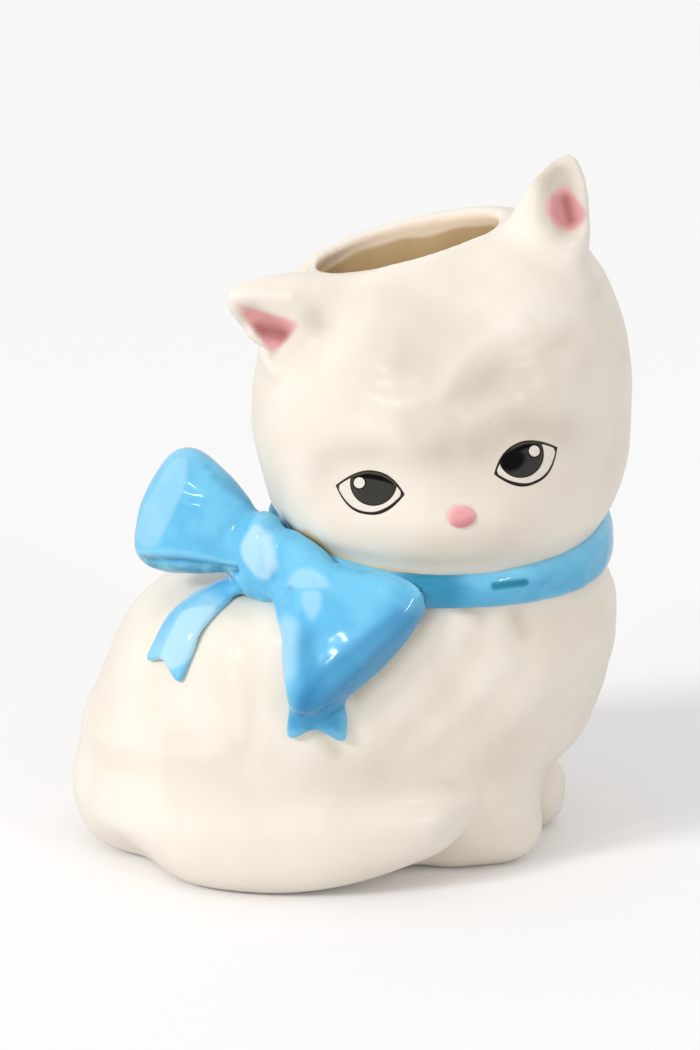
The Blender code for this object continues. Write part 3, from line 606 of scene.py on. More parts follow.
def blue_glaze():
    """Thick coloured glaze, brushed on and fired to a high gloss: paler where it thins over the crests and
    deeper, towards teal, where it pools. Over it lie painted highlights and reflections of the light as
    paler glaze, and painted shade as deeper blue on the sides turned from the light, under the front
    loop, on the rear loop's underside and on the band where it looks down and goes under the bow."""
    made, tree = new_finish("sky-blue gloss glaze")
    streaks = mottled(tree, 3 * MM, (0.50, 0.75, 0.0, 0.8), 2.0, (0.3, 0.3, 3.0))
    streaks = add(tree, "ShaderNodeMath", {0: streaks, 1: "pool"}, operation="MULTIPLY").outputs[0]
    under = layered(tree, "5C9DB8", (mottled(tree, 4 * MM, (0.35, 0.65), 3.0), "83BDD2"))
    colour = layered(
        tree,
        "6FC6EC",
        (mottled(tree, 9 * MM, (0.35, 0.65)), "5FBAE5"),
        (CAVITY, "8FD5F3", -0.02, -0.30, 0.0, 0.55),
        # painted shade, as deeper blue
        ("deep", "167BB2"),
        # painted highlights and reflections, as paler glaze
        ("thin", "C4E9FA"),
        (CAVITY, "2A7FA6", 0.03, 0.30, 0.0, 0.80),
        # painted shade on the undersides
        ("under", under),
        # painted shade on the band
        ("pool", "3893BC"),
        (streaks, "1D86AC"),
        ("teal", "0082A2"),
    )
    return fired(made, colour, 0.13, 1.47, mottled(tree, 6 * MM, detail=1.0), 0.03 * MM)


def pink_glaze():
    """Underglaze pink dabbed on the nose button with a soft brush, under the clear glaze, with painted
    shade on its lower side and paler pink at its rim.
    """
    made, tree = new_finish("underglaze pink")
    dabbed = mottled(tree, 2.4 * MM, (0.3, 0.7, 0.0, 0.35))
    colour = layered(tree, "F0A9AB", (dabbed, "E4989B"), ("under", "D8888C"), ("rim", "EBC4B8"))
    return fired(made, colour, 0.32, 1.50, mottled(tree, 1.5 * MM, detail=1.0), 0.02 * MM)


def black_transfer():
    """Screen-printed ceramic ink fired into the glaze: warm black lines, a dark grey iris, and olive
    where the print is thin along the lid."""
    made, tree = new_finish("fired black transfer")
    fine = mottled(tree, 0.5 * MM, (0.3, 0.7), 1.0)
    iris = layered(tree, "3A3835", (fine, "403E3B"))
    printed = (("iris", iris), ("olive", "4E4838"), ("soot", "050302"))
    colour = layered(tree, "2A2019", (fine, "352A20"), *printed)
    return fired(made, colour, 0.28, 1.18, fine, 0.004 * MM)


def white_transfer():
    """Opaque white ceramic ink, fired: a little cooler than the glaze round it."""
    made, tree = new_finish("fired white transfer")
    fine = mottled(tree, 0.8 * MM, (0.3, 0.7), 1.0)
    colour = layered(tree, "EFE8DE", (fine, "E7DFD6"))
    return fired(made, colour, 0.16, 1.50, fine, 0.004 * MM)


# The hand-worked skin, as one tree of geometry nodes


def hand_work():
    """Combs strokes along the stored directions, and presses soft dents, where the relief mask lets it."""
    tree = bpy.data.node_groups.new("Hand-worked skin", "GeometryNodeTree")
    sockets = [("Geometry", "Geometry"), *[(name, "Float") for name in TOOL], ("Glaze", "Material")]
    for name, kind in sockets:
        tree.interface.new_socket(name, in_out="INPUT", socket_type="NodeSocket" + kind)
    tree.interface.new_socket("Geometry", in_out="OUTPUT", socket_type="NodeSocketGeometry")
    given = add(tree, "NodeGroupInput").outputs
    math_node, vector_node = "ShaderNodeMath", "ShaderNodeVectorMath"
    finer, longer, wide = [
        add(tree, math_node, {0: 1.0, 1: given[name]}, operation="DIVIDE").outputs[0]
        for name in ("Stroke width", "Stroke length", "Dent size")
    ]
    scale = add(tree, "ShaderNodeCombineXYZ", {0: finer, 1: finer, 2: longer}).outputs[0]
    combed = add(tree, "GeometryNodeInputNamedAttribute", {"Name": COMB}, data_type="FLOAT_VECTOR")
    combed = add(tree, vector_node, {0: combed.outputs[0], 1: scale}, operation="MULTIPLY").outputs[0]
    position = add(tree, "GeometryNodeInputPosition").outputs[0]
    position = add(tree, vector_node, {0: position, "Scale": wide}, operation="SCALE").outputs[0]
    noise = {"W": given["Seed"], "Scale": 1.0, "Detail": 1.5, "Roughness": 0.45}
    lifts = []
    for place, depth in ((combed, "Stroke depth"), (position, "Dent depth")):
        pattern = add(tree, "ShaderNodeTexNoise", {"Vector": place, **noise}, noise_dimensions="4D")
        middle = add(tree, math_node, {0: pattern.outputs[0], 1: 0.5}, operation="SUBTRACT").outputs[0]
        lift = add(tree, math_node, {0: middle, 1: given[depth]}, operation="MULTIPLY").outputs[0]
        lifts.append(lift)
    total = add(tree, math_node, {0: lifts[0], 1: lifts[1]}, operation="ADD").outputs[0]
    share = add(tree, "GeometryNodeInputNamedAttribute", {"Name": RELIEF}, data_type="FLOAT")
    total = add(tree, math_node, {0: total, 1: share.outputs[0]}, operation="MULTIPLY").outputs[0]
    normal = add(tree, "GeometryNodeInputNormal").outputs[0]
    offset = add(tree, vector_node, {0: normal, "Scale": total}, operation="SCALE").outputs[0]
    moved = add(tree, "GeometryNodeSetPosition", {"Geometry": given["Geometry"], "Offset": offset})
    real = add(tree, "GeometryNodeRealizeInstances", {"Geometry": moved.outputs[0]}).outputs[0]
    glazed = add(tree, "GeometryNodeSetMaterial", {"Geometry": real, "Material": given["Glaze"]})
    add(tree, "NodeGroupOutput", {"Geometry": glazed.outputs[0]})
    return tree


def worked(piece, glaze, edges, relief, comb, sizes, rounds):
    """Runs a skin through the tree of hand work and stores its hollows: (mesh, points, normals)."""
    store(piece.data, RELIEF, relief)
    store(piece.data, COMB, comb)
    modifier = piece.modifiers.new("Hand work", "NODES")
    modifier.node_group = WORKED
    named = {item.name: item.identifier for item in WORKED.interface.items_tree if item.in_out == "INPUT"}
    modifier[named["Glaze"]] = glaze
    for name, size in zip(TOOL, sizes):
        modifier[named[name]] = size
    mesh = settle(piece).data
    points, normals = points_of(mesh), normals_of(mesh)
    store(mesh, CAVITY, cavity(points, normals, edges, rounds))
    return mesh, points, normals


WORKED = hand_work()
IVORY, BLUE, PINK = ivory_glaze(), blue_glaze(), pink_glaze()
BLACK, WHITE = black_transfer(), white_transfer()

PAWS = ("right_front_paw", "left_front_paw")
EARS = ("right_ear", "left_ear")
LOOPS = ("rear_bow_loop", "front_bow_loop")
RIBBON_ENDS = ("rear_ribbon_end", "front_ribbon_end")
BOW = ("bow_knot", *LOOPS, *RIBBON_ENDS)
FACE_PARTS = ("right_eye_print", "left_eye_print", "nose")

shapes = {name: node_shape(name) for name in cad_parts}
trees = {name: tree_of(shape) for name, shape in shapes.items()}
ribbon_tree = tree_of(*[shapes[name] for name in ("neck_ribbon", *BOW)])

# Torso, tail and paws

BODY_STROKE_TWIST = 9.0  # radians in a metre of height, which slants the strokes
TORSO_AXIS = np.array([0.0, 0.005])  # x and y of the torso's middle
# Clay that joins the chest to the right paw as a broad foreleg: rolls with two ends and a radius
FORELEG = (
    ((0.0420, -0.0250, 0.0330), (0.0430, -0.0200, 0.0140), 0.0125),
    ((0.0300, -0.0300, 0.0370), (0.0330, -0.0260, 0.0130), 0.0115),
    ((0.0480, -0.0140, 0.0380), (0.0480, -0.0120, 0.0200), 0.0115),
    ((0.0350, -0.0225, 0.0070), (0.0480, -0.0170, 0.0070), 0.0085),
    ((0.0230, -0.0240, 0.0070), (0.0350, -0.0235, 0.0070), 0.0085),
)
# Hollow at the foot where the rump ends and the tail comes out: x and y of its middle, radius, the
# way it is pressed and how deep, and the heights over which it fades
NOTCH = ((-0.0640, -0.0300), 0.0130, (0.45, 0.89), 0.0075, (0.004, 0.018))
# How softly tail and paws join the torso, and how far that is looked for
JOINT_SOFTNESS = {"tail": 4 * MM, "right_front_paw": 8 * MM, "left_front_paw": 4 * MM}
JOINT_REACH = 16 * MM
DRY_FOOT = 0.6 * MM  # how high the glaze is wiped off the foot
PLAIN_FOOT = (3 * MM, 14 * MM)  # heights between which the hand work sets in
INNER_FLOOR = 5 * MM  # skin that is lower than this is outside
INNER_TURN = (0.1, 0.3)  # how far skin above it turns to the torso's axis where the inside begins
# Where joints are smoothed away, as seen: a path, its half width and how far
SMOOTHED = (
    (((31.0, -81.0), (34.0, -86.0), (30.0, -91.0)), 4.0, 0.7),
    (((44.0, -74.0), (46.0, -88.0), (43.0, -95.0)), 9.0, 0.8),
    (((-84.0, -66.0), (-60.0, -71.5), (-30.0, -75.0), (20.0, -78.0)), 4.0, 0.7),
)


def torso_piece():
    seat = trees["body_shell"]
    tail = press_in(shapes["tail"], [seat])
    paws = [press_in(shapes[name], [seat, trees["tail"]]) for name in PAWS]
    legs = [roll_of_clay(*roll) for roll in FORELEG]
    parts = [shapes["body_shell"], tail, *paws, *legs]
    piece, edges, points = fused("glazed_torso", parts, *TORSO_SKIN)
    mesh = piece.data
    to_torso = distances(points, seat, JOINT_REACH)
    front = facing(normals_of(mesh)) * (points[:, 1] < 0)
    joints = front * strongest(seen(points), SMOOTHED)
    for name, soft in JOINT_SOFTNESS.items():
        to_part = distances(points, trees[name], JOINT_REACH)
        joints = np.maximum(joints, bell(np.hypot(to_torso, to_part), soft))
    points = relaxed(points, edges, TORSO_JOINTS, joints, keep=False)
    middle, radius, way, deep, heights = NOTCH
    near = bell(np.linalg.norm(points[:, :2] - np.array(middle), axis=1), radius)
    press = deep * near * (1.0 - smooth_step(points[:, 2], *heights))
    points[:, :2] += press[:, None] * np.array(way)
    points[:, 2] = np.maximum(points[:, 2], 0.0)
    move_points(mesh, points)
    points = relaxed(stroked(points, normals_of(mesh), BODY_STROKES), edges, AFTER_STROKES)
    points[:, 2] = np.maximum(points[:, 2], 0.0)
    move_points(mesh, points)
    normals = normals_of(mesh)
    around = points[:, :2] - TORSO_AXIS
    turned = -np.sum(around * normals[:, :2], 1) / np.linalg.norm(around, axis=1)
    inner = smooth_step(turned, *INNER_TURN) * (points[:, 2] > INNER_FLOOR)
    relief = clear_of(points, ribbon_tree, 1.0, 7.0)
    relief *= clear_of(points, trees["tail"], 0.0, 11.0) * 0.8 + 0.2
    relief *= smooth_step(points[:, 2], *PLAIN_FOOT)
    relief = relief * (1.0 - inner) * (1.0 - FRONT_CALM * facing(normals))
    x, y, z = points.T
    turn = BODY_STROKE_TWIST * z
    c, s = np.cos(turn), np.sin(turn)
    comb = np.stack([x * c - y * s, x * s + y * c, z], 1)
    mesh, points, normals = worked(piece, IVORY, edges, relief, comb, TORSO_WORK, IVORY_HOLLOWS)
    dry = smooth_step(-normals[:, 2], 0.8, 0.95) * (points[:, 2] < DRY_FOOT)
    # painted shadow and shade on the body's front
    wash = np.clip(added(seen(points), BODY_WASH), 0.0, FULL_WASH) * facing(normals) * (1.0 - inner)
    store_masks(mesh, tan=inner, dry=dry, wash=wash, pink=0.0, painted=0.0, flush=0.0, amber=0.0)
    finish_piece(piece, IVORY, "ivory_glaze", "body_shell", "tail", *PAWS)


# Head and ears

# Plane of the mouth's crest: its middle, its normal, and half sizes of the opening
MOUTH_CENTRE = np.array([0.0159, 0.0008, 0.1843])
MOUTH_NORMAL = unit((-0.254, -0.141, 0.957))
MOUTH_HALF = (0.0272, 0.0132)
HEAD_MIDDLE = (0.0270, -0.0030, 0.1400)
LIP_DEPTH = 12 * MM  # how deep the thickened lip goes
LIP_BLEND = 12 * MM  # and over what depth it then meets the wall
LIP_LEAN = 0.30  # how far its back leans into the mouth as it goes down
GLAZED_LIP = 4.8 * MM  # how deep the full glaze reaches inside the mouth
GLAZE_FADE = 0.7 * MM  # half width of that glaze's edge
# Waves in the edge: height, length over one radian, and phase
GLAZE_WAVES = ((0.5 * MM, 5 * MM, 0.0), (0.3 * MM, 2.3 * MM, 1.0))
WARM_LIP = 0.42  # share of warm painted light on the glaze inside the lip, where it lies in shade

# Where the rim is eased again: how deep, its half width there, its reach round the mouth, and rounds
RIM_EASED = (3 * MM, 5 * MM, 33 * MM, 14)
# Where the rim's outside is pressed thinner: the middle, radius and move
RIM_THINNED = ((-0.0160, 0.0020, 0.1755), 0.0048, (0.0026, 0.0, -0.0010))

# Underglaze pink rubbed into each ear, as seen: the patch's corners, where it is deepest as a path,
# and that path's half width
EAR_PINK = {
    "right_ear": (((-34.4, 65.4), (-14.4, 59.6), (-22.6, 49.4)), ((-26.9, 57.8), (-20.2, 56.0)), 2.7),
    "left_ear": (
        ((63.4, 100.6), (56.8, 95.2), (59.0, 88.3), (65.6, 85.6), (70.4, 91.2)),
        ((63.4, 95.6), (64.8, 89.8)),
        2.1,
    ),
}
# Iron-stained glaze where the bow meets the cheek, as seen
AMBER = ((-13.2, -2.9), (-5.9, -9.1), (4.4, -13.2), (19.1, -15.3))
EAR_SOFTNESS = 5 * MM  # how softly the ears join the head
EAR_REACH = 10 * MM  # how far that is looked for
PINK_FEATHER = 1.6  # half width of the pink patches' edge
NOSE_PINK = 0.45  # share of pink on the skin beside the nose


def with_thick_lip(points, inner):
    """(points, their depths under the mouth), with the inner points drawn in so that a thick lip goes
    down before the wall opens out."""
    across = unit(np.array([1.0, 0.0, 0.0]) - MOUTH_NORMAL * MOUTH_NORMAL[0])
    through = np.cross(MOUTH_NORMAL, across)
    away = points - MOUTH_CENTRE
    depth = -(away @ MOUTH_NORMAL)
    x, y = away @ across, away @ through
    half_y = MOUTH_HALF[1] - np.where(y > 0.0, LIP_LEAN * np.clip(depth, 0.0, LIP_DEPTH), 0.0)
    ring = np.maximum(np.sqrt((x / MOUTH_HALF[0]) ** 2 + (y / half_y) ** 2), 1e-6)
    wanted = np.minimum(ring, 1.0) / ring
    share = inner * (1.0 - smooth_step(depth, LIP_DEPTH, LIP_DEPTH + LIP_BLEND)) * (depth > -MM)
    pull = (1.0 - wanted) * share
    return points - (across * (x * pull)[:, None] + through * (y * pull)[:, None]), depth


def head_piece():
    seat = trees["head_shell"]
    ears = [press_in(shapes[name], [seat]) for name in EARS]
    piece, edges, points = fused("glazed_head", [shapes["head_shell"], *ears], *HEAD_SKIN)
    mesh = piece.data
    to_head = distances(points, seat, EAR_REACH)
    to_ears = np.minimum(*[distances(points, trees[name], EAR_REACH) for name in EARS])
    joints = bell(np.hypot(to_head, to_ears), EAR_SOFTNESS)
    points = relaxed(points, edges, HEAD_JOINTS, joints, keep=False)
    move_points(mesh, points)
    normals = normals_of(mesh)
    inner = head_inside(points, normals)
    points = stroked(points, normals * (1.0 - inner)[:, None], HEAD_STROKES)
    points, depth = with_thick_lip(points, inner)
    points = relaxed(points, edges, 3)
    deep, wide, reach, rounds = RIM_EASED
    rim = bell(np.abs(depth - deep), wide) * (np.linalg.norm(points - MOUTH_CENTRE, axis=1) < reach)
    points = relaxed(points, edges, rounds, rim)
    middle, radius, move = RIM_THINNED
    near = bell(np.linalg.norm(points - np.array(middle), axis=1), radius) * (1.0 - inner)
    points = points + near[:, None] * np.array(move)
    move_points(mesh, points)
    normals = normals_of(mesh)
    relief = clear_of(points, ribbon_tree, 1.0, 7.0)
    face_tree = tree_of(*[shapes[name] for name in FACE_PARTS])
    relief *= clear_of(points, face_tree, 1.0, 13.0)
    relief *= smooth_step(to_ears, 1.0 * MM, 8.0 * MM) * 0.85 + 0.15
    relief *= smooth_step(depth, 2 * MM, 12 * MM) * 0.8 + 0.2
    relief = relief * (1.0 - inner) * (1.0 - FRONT_CALM * facing(normals))
    mesh, points, normals = worked(piece, IVORY, edges, relief, points, HEAD_WORK, IVORY_HOLLOWS)
    flat, front = seen(points), facing(normals)
    pink, flush, wash = np.zeros((3, len(points)))
    for name, (corners, path, width) in EAR_PINK.items():
        near = front * (1.0 - clear_of(points, trees[name], 3.0, 5.0))
        pink = np.maximum(pink, in_patch(flat, corners, PINK_FEATHER) * near)
        flush = np.maximum(flush, brushed(flat, path, width) * near)
        # painted shade in the ear's scoop
        wash += added(flat, EAR_WASH[name]) * near
    pink = np.maximum(pink, NOSE_PINK * (1.0 - clear_of(points, trees["nose"], 0.1, 1.5)))
    # painted shade over the face, and in the hollows of the strokes
    wash += added(flat, HEAD_WASH)
    sunk = [(path, 1.5 * width, -WASH_OF_STROKE * height) for path, width, height in HEAD_STROKES]
    wash += added(flat, sunk)
    amber = 0.9 * (1.0 - smooth_step(from_path(flat, AMBER), 0.9, 2.3)) * front
    waved = depth + sum(high * np.sin(points[:, 0] / long + phase) for high, long, phase in GLAZE_WAVES)
    store_masks(
        mesh,
        tan=inner * smooth_step(waved, GLAZED_LIP - GLAZE_FADE, GLAZED_LIP + GLAZE_FADE),
        pink=pink,
        painted=smooth_step(pink, 0.0, 0.3),
        flush=flush,
        # iron stain by the bow, and warm painted light inside the lip
        amber=np.maximum(amber, WARM_LIP * inner),
        wash=np.clip(wash, 0.0, FULL_WASH) * front * (1.0 - inner),
        dry=0.0,
    )
    return finish_piece(piece, IVORY, "ivory_glaze", "head_shell", *EARS)


def head_inside(points, normals):
    """Share by which each point lies on the inner side of the head's wall."""
    shell = shapes["head_shell"].copy()
    shell.normal_update()
    middle = Vector(HEAD_MIDDLE)
    inward = [face for face in shell.faces if face.normal.dot(face.calc_center_median() - middle) < 0.0]
    bmesh.ops.delete(shell, geom=inward, context="FACES")
    outside = tree_of(shell)
    sunk = np.zeros(len(points))
    for i, point in enumerate(points):
        nearest, normal, _, _ = outside.find_nearest(Vector(point))
        sunk[i] = (nearest - Vector(point)).dot(normal)
    to_middle = np.array(HEAD_MIDDLE) - points
    inward = np.sum(to_middle * normals, 1) / np.linalg.norm(to_middle, axis=1)
    within = smooth_step(sunk, 1.4 * MM, 2.6 * MM) * smooth_step(inward, -0.35, 0.05)
    away = points - MOUTH_CENTRE
    depth = -(away @ MOUTH_NORMAL)
    away = away + depth[:, None] * MOUTH_NORMAL
    out = np.linalg.norm(away, axis=1)
    to_axis = -np.sum(away * normals, 1) / np.maximum(out, 1e-6)
    under_rim = smooth_step(to_axis, 0.05, 0.30) * smooth_step(depth, 0.5 * MM, 2.0 * MM)
    return np.maximum(within, under_rim * (depth < 9 * MM) * (out < 34 * MM))


# Ribbon band and bow

# Clay that makes the knot full, carries it over to the front loop's upper edge, and widens the
# front ribbon end where it leaves the loop
KNOT_CLAY = (
    ((-0.0245, -0.0260, 0.1030), (-0.0232, -0.0275, 0.0905), 0.0078),
    ((-0.0200, -0.0270, 0.1030), (-0.0070, -0.0410, 0.0985), 0.0046),
    ((-0.0170, -0.0330, 0.0985), (-0.0050, -0.0440, 0.0945), 0.0054),
    ((-0.0090, -0.0400, 0.0970), (0.0060, -0.0475, 0.0950), 0.0042),
    ((0.0040, -0.0465, 0.0958), (0.0163, -0.0512, 0.0950), 0.0039),
    ((-0.0034, -0.0530, 0.0650), (-0.0032, -0.0535, 0.0575), 0.0026),
    ((-0.0162, -0.0525, 0.0640), (-0.0164, -0.0530, 0.0560), 0.0022),
)
# Where the bow's joints are smoothed away, as seen: a path, its half width and how far
BOW_SMOOTHED = (
    (((-20.0, -2.0), (-12.0, -7.0), (0.0, -14.0), (8.0, -17.5), (18.0, -19.5)), 4.5, 1.0),
    (((-17.0, -11.0), (-8.0, -17.0), (1.0, -20.0)), 4.5, 1.0),
    (((-21.0, -4.0), (-19.0, -14.0)), 3.5, 0.9),
    (((-33.0, -2.0), (-33.5, -13.0)), 2.6, 0.5),
)
# End of the front loop: the direction it faces, and how deep its roundness is pressed flat
LOOP_END = unit((0.59, -0.65, -0.48))
END_PRESSED = 1.5 * MM
END_ROUND = 0.5 * MM  # how softly the pressed flat begins
# Painted highlights and reflections of the light, as paler glaze, as seen: a path, its half width and its
# share. Over the knot, along the rear loop's end, down the front loop's rear side, and down the rear
# ribbon end
THIN_GLAZE = (
    (((-25.0, -4.4), (-23.8, -12.0)), 2.6, 0.95),
    (((-50.0, 19.5), (-55.5, 9.0), (-61.0, -3.0)), 4.6, 0.16),
    (((-18.4, -30.0), (-19.4, -43.0)), 3.4, 0.50),
    (((-42.0, -23.0), (-47.0, -28.0), (-54.0, -37.0)), 4.6, 0.40),
)
# The same as patches, with their corners and share: painted highlights over the knot's crown, on the rear
# ribbon end and along the rear loop's end, and a painted reflection where the front loop starts
THIN_PATCHES = (
    (
        ((-27.6, 1.5), (-21.8, -4.7), (-20.9, -10.0), (-22.6, -15.9), (-27.9, -17.6), (-30.3, -13.5),
         (-33.8, -10.0), (-32.4, -4.1)),
        0.72,
    ),
    (
        ((-50.4, -24.4), (-38.4, -22.8), (-40.0, -30.4), (-48.2, -41.4), (-54.2, -43.4),
         (-57.4, -38.2), (-53.0, -29.3)),
        0.74,
    ),
    (
        ((-52.5, 20.6), (-47.6, 21.8), (-47.0, 14.5), (-57.0, -7.0), (-62.0, -7.6), (-64.2, -3.7),
         (-62.5, 4.4), (-57.9, 12.5)),
        0.34,
    ),
    (((-20.6, -18.6), (-18.4, -14.6), (-14.6, -11.4), (-10.4, -12.0), (-6.6, -14.4), (-4.0, -18.8)), 0.42),
    (((-15.0, -19.0), (-8.0, -18.8), (-8.2, -25.5), (-11.4, -29.6), (-14.6, -24.5)), 0.42),
)
# Painted shade, as deeper blue, as seen: a path, its half width and its share
DEEP_GLAZE = (
    # the front loop's end, its turn and its rear edge
    (((18.5, -29.0), (6.5, -41.0), (-6.0, -52.0)), 6.0, 0.72),
    (((14.0, -26.5), (1.5, -36.5), (-7.5, -43.5), (-12.4, -50.5)), 2.4, 0.55),
    (((-12.8, -34.0), (-11.8, -48.5)), 3.8, 0.58),
    # under it, and across the front ribbon end
    (((-13.2, -53.0),), 4.2, 0.90),
    (((-16.0, -58.5), (-5.0, -58.5)), 3.4, 0.55),
    # over the knot by the cheek, along the rear ribbon end, and in the rear loop's crease
    (((-22.4, 7.9), (-18.6, 2.4)), 1.4, 0.60),
    (((-32.0, -22.0), (-41.5, -36.5), (-47.5, -45.0)), 1.5, 0.60),
    (((-39.5, 14.0), (-26.5, 4.5)), 1.4, 0.35),
)
# Painted shade on the rear loop's layer that steps back under its lower edge, as seen
UNDER_LAYER = ((-61.0, -10.6), (-55.9, -11.4), (-49.4, -12.4), (-41.8, -13.2), (-35.0, -13.4))
THIN_FEATHER = 0.8  # half width of the painted highlight patches' edge
BOW_SOFTNESS = 2.6 * MM  # how softly the bow's pieces run into one another


def bow_piece():
    knot, skin = trees["bow_knot"], [trees["body_shell"], trees["head_shell"]]
    loops = [press_in(shapes[name], [knot]) for name in LOOPS]
    over = [knot, *[trees[name] for name in LOOPS]]
    ends = [press_in(shapes[name], over) for name in RIBBON_ENDS]
    parts = [shapes["bow_knot"], *loops, *ends]
    for part in parts:
        press_in(part, [*skin, trees["neck_ribbon"]], depth=BOW_SUNK)
    rolls = [roll_of_clay(*roll) for roll in KNOT_CLAY]
    piece, edges, points = fused("glazed_bow", [*parts, *rolls], *BOW_SKIN)
    mesh = piece.data
    gaps = np.sort(np.stack([distances(points, trees[name], 8 * MM) for name in BOW]), axis=0)
    smoothed = facing(normals_of(mesh)) * strongest(seen(points), BOW_SMOOTHED)
    joints = np.maximum(bell(np.hypot(gaps[0], gaps[1]), BOW_SOFTNESS), smoothed)
    points = relaxed(points, edges, BOW_JOINTS, joints, keep=False)
    on_front = distances(points, trees["front_bow_loop"], 4 * MM) < 2 * MM
    ahead = points @ LOOP_END
    past = (ahead - ahead[on_front].max() + END_PRESSED) / END_ROUND
    pressed = END_ROUND * np.logaddexp(0.0, past) * on_front
    points = points - LOOP_END * pressed[:, None]
    move_points(mesh, points)
    points = relaxed(stroked(points, normals_of(mesh), BOW_STROKES), edges, AFTER_STROKES)
    move_points(mesh, points)
    even = np.ones(len(points))
    mesh, points, normals = worked(piece, BLUE, edges, even, points, BOW_WORK, BOW_HOLLOWS)
    flat, front = seen(points), facing(normals)
    # painted highlights and reflections of the light
    thin = np.zeros(len(points))
    for path, width, share in THIN_GLAZE:
        gap = from_path(flat, path)
        thin = np.maximum(thin, share * (1.0 - smooth_step(gap, 0.15 * width, 1.5 * width)))
    for corners, share in THIN_PATCHES:
        thin = np.maximum(thin, share * in_patch(flat, corners, THIN_FEATHER))
    # painted shade on sides turned from the light, in creases and under the front loop
    deep = np.zeros(len(points))
    for path, width, share in DEEP_GLAZE:
        deep = 1.0 - (1.0 - deep) * (1.0 - share * brushed(flat, path, width))
    # painted shade on the rear loop's back layer, where it looks down
    under = 1.0 - smooth_step(from_path(flat, UNDER_LAYER), 1.2, 2.4)
    under *= smooth_step(-normals[:, 2], -0.2, 0.3)
    store_masks(mesh, thin=thin * front, deep=deep * front, under=under * front, pool=0.0, teal=0.0)
    finish_piece(piece, BLUE, "blue_glaze", *BOW)


# Clay that lifts the band where it comes round the neck behind the knot
BAND_CLAY = ((-0.0220, -0.0010, 0.1015), (-0.0214, 0.0030, 0.1032), 0.0024)
# As seen, a teal pool on the band's front, and painted shade where it goes under the bow
BAND_SPOT = ((42.6, -18.0), (51.4, -16.9))
BAND_START = ((21.0, -15.0), (27.0, -19.0))
START_WIDTH = 6.0  # half width of that


def band_piece():
    skin = [trees["head_shell"], trees["body_shell"]]
    parts = [press_in(shapes["neck_ribbon"], skin, depth=BAND_SUNK), roll_of_clay(*BAND_CLAY)]
    piece, edges, points = fused("glazed_neck_ribbon", parts, *BAND_SKIN)
    move_points(piece.data, points)
    even = np.ones(len(points))
    mesh, points, normals = worked(piece, BLUE, edges, even, points, BAND_WORK, BAND_HOLLOWS)
    flat, front = seen(points), facing(normals)
    # painted shade, darker and towards teal, where the band goes under the bow and on faces that look
    # down; the teal spot is the glaze's own
    start = brushed(flat, BAND_START, START_WIDTH) * front
    spot = 1.0 - smooth_step(from_path(flat, BAND_SPOT), 0.6, 1.7)
    low = smooth_step(-normals[:, 2], -0.5, 0.4)
    pool = np.clip(0.02 + 0.28 * low + 0.9 * start, 0.0, 1.0)
    teal = np.maximum(spot, 0.55 * start) * front
    store_masks(mesh, teal=teal, deep=0.95 * start, pool=pool, thin=0.0, under=0.0)
    finish_piece(piece, BLUE, "blue_glaze", "neck_ribbon")


# Nose

NOSE_SHARE = 0.48  # of the button's height that is left after it is smoothed into the face


def nose_piece():
    skin = trees["head_shell"]
    shape = press_in(shapes["nose"], [skin], depth=NOSE_SUNK)
    piece, _, points = fused("painted_nose", [shape], *NOSE_SKIN)
    mesh = piece.data
    nearest = [skin.find_nearest(Vector(point)) for point in points]
    rise = np.array([(Vector(point) - hit[0]).dot(hit[1]) for point, hit in zip(points, nearest)])
    outward = np.array([hit[1] for hit in nearest])
    points = points - outward * (np.maximum(rise, 0.0) * (1.0 - NOSE_SHARE))[:, None]
    move_points(mesh, points)
    low, high = points.min(0), points.max(0)
    across, _, height = ((points - low) / (high - low)).T
    # painted shade on the nose's lower side
    under = smooth_step(0.62 + 0.25 * (across - 0.5) - height, 0.0, 0.5)
    store_masks(mesh, under=under, rim=0.55 * (1.0 - clear_of(points, skin, 0.1, 0.9)))
    finish_piece(piece, PINK, "pink_glaze", "nose")


# Eyes: fired transfers, drawn in millimetres on a plane that leans with the face. An eye's own
# frame has x from its middle towards its outer corner, and y up.

FACE_LEAN = 18.0  # degrees
LID_RISE = 5.45  # height of the upper lid over the line between the eye's corners
LID_DROP = 6.95
CORNER_REACH = 0.35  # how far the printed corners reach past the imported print's
LID_POWERS = (1.9, 2.4)  # how full the upper lid's curve is, outwards and inwards
DROP_POWER = 2.45
LINE_WIDTH, LINE_SWELL = 0.78, 0.45  # of the lower line, and how much wider it gets inwards
IRIS = (-0.7, 2.2, 6.55)  # centre and radius
IRIS_LINE = 0.36  # width of the dark line round it
OLIVE_FROM, SOOT_FROM, SOOT_TO = 0.40, 0.98, 2.42  # below the upper lid's edge
GLINT = (3.2, 1.6, 1.52)  # centre and radius
WHITE_FROM = (0.0, -0.6)  # middles from which the white and the iris's print are filled
PRINT_FROM = (-0.7, 0.4)
WHITE_INSET = (1.1, 0.85)  # of the white, from the corners and from the upper lid
IRIS_INSET = 0.1  # of the iris's print, from the upper lid
BLOT = (-3.6, 1.6, 4.4, 3.3)  # near-black patch at the left eye's inner corner: centre and half sizes
LID_OLIVE, OLIVE_CORNER = 0.35, 4.0  # share of olive in the lids' line, and from where outwards
# Height of each film over the head's skin, and how far its back lies under it
OUTLINE_LIFT, GROUND_LIFT, IRIS_LIFT, SPARK_LIFT = 0.06 * MM, 0.11 * MM, 0.16 * MM, 0.21 * MM
FILM_UNDER = 0.05 * MM
LAID_FROM = 20 * MM  # how far in front of the face a film's points start towards the skin
EDGE_FAR, EDGE_HALVINGS = 12.0, 24  # an edge is nearer than this, and found by so many halvings
OUTLINE_POINTS = 120
PATCH_RINGS = 22


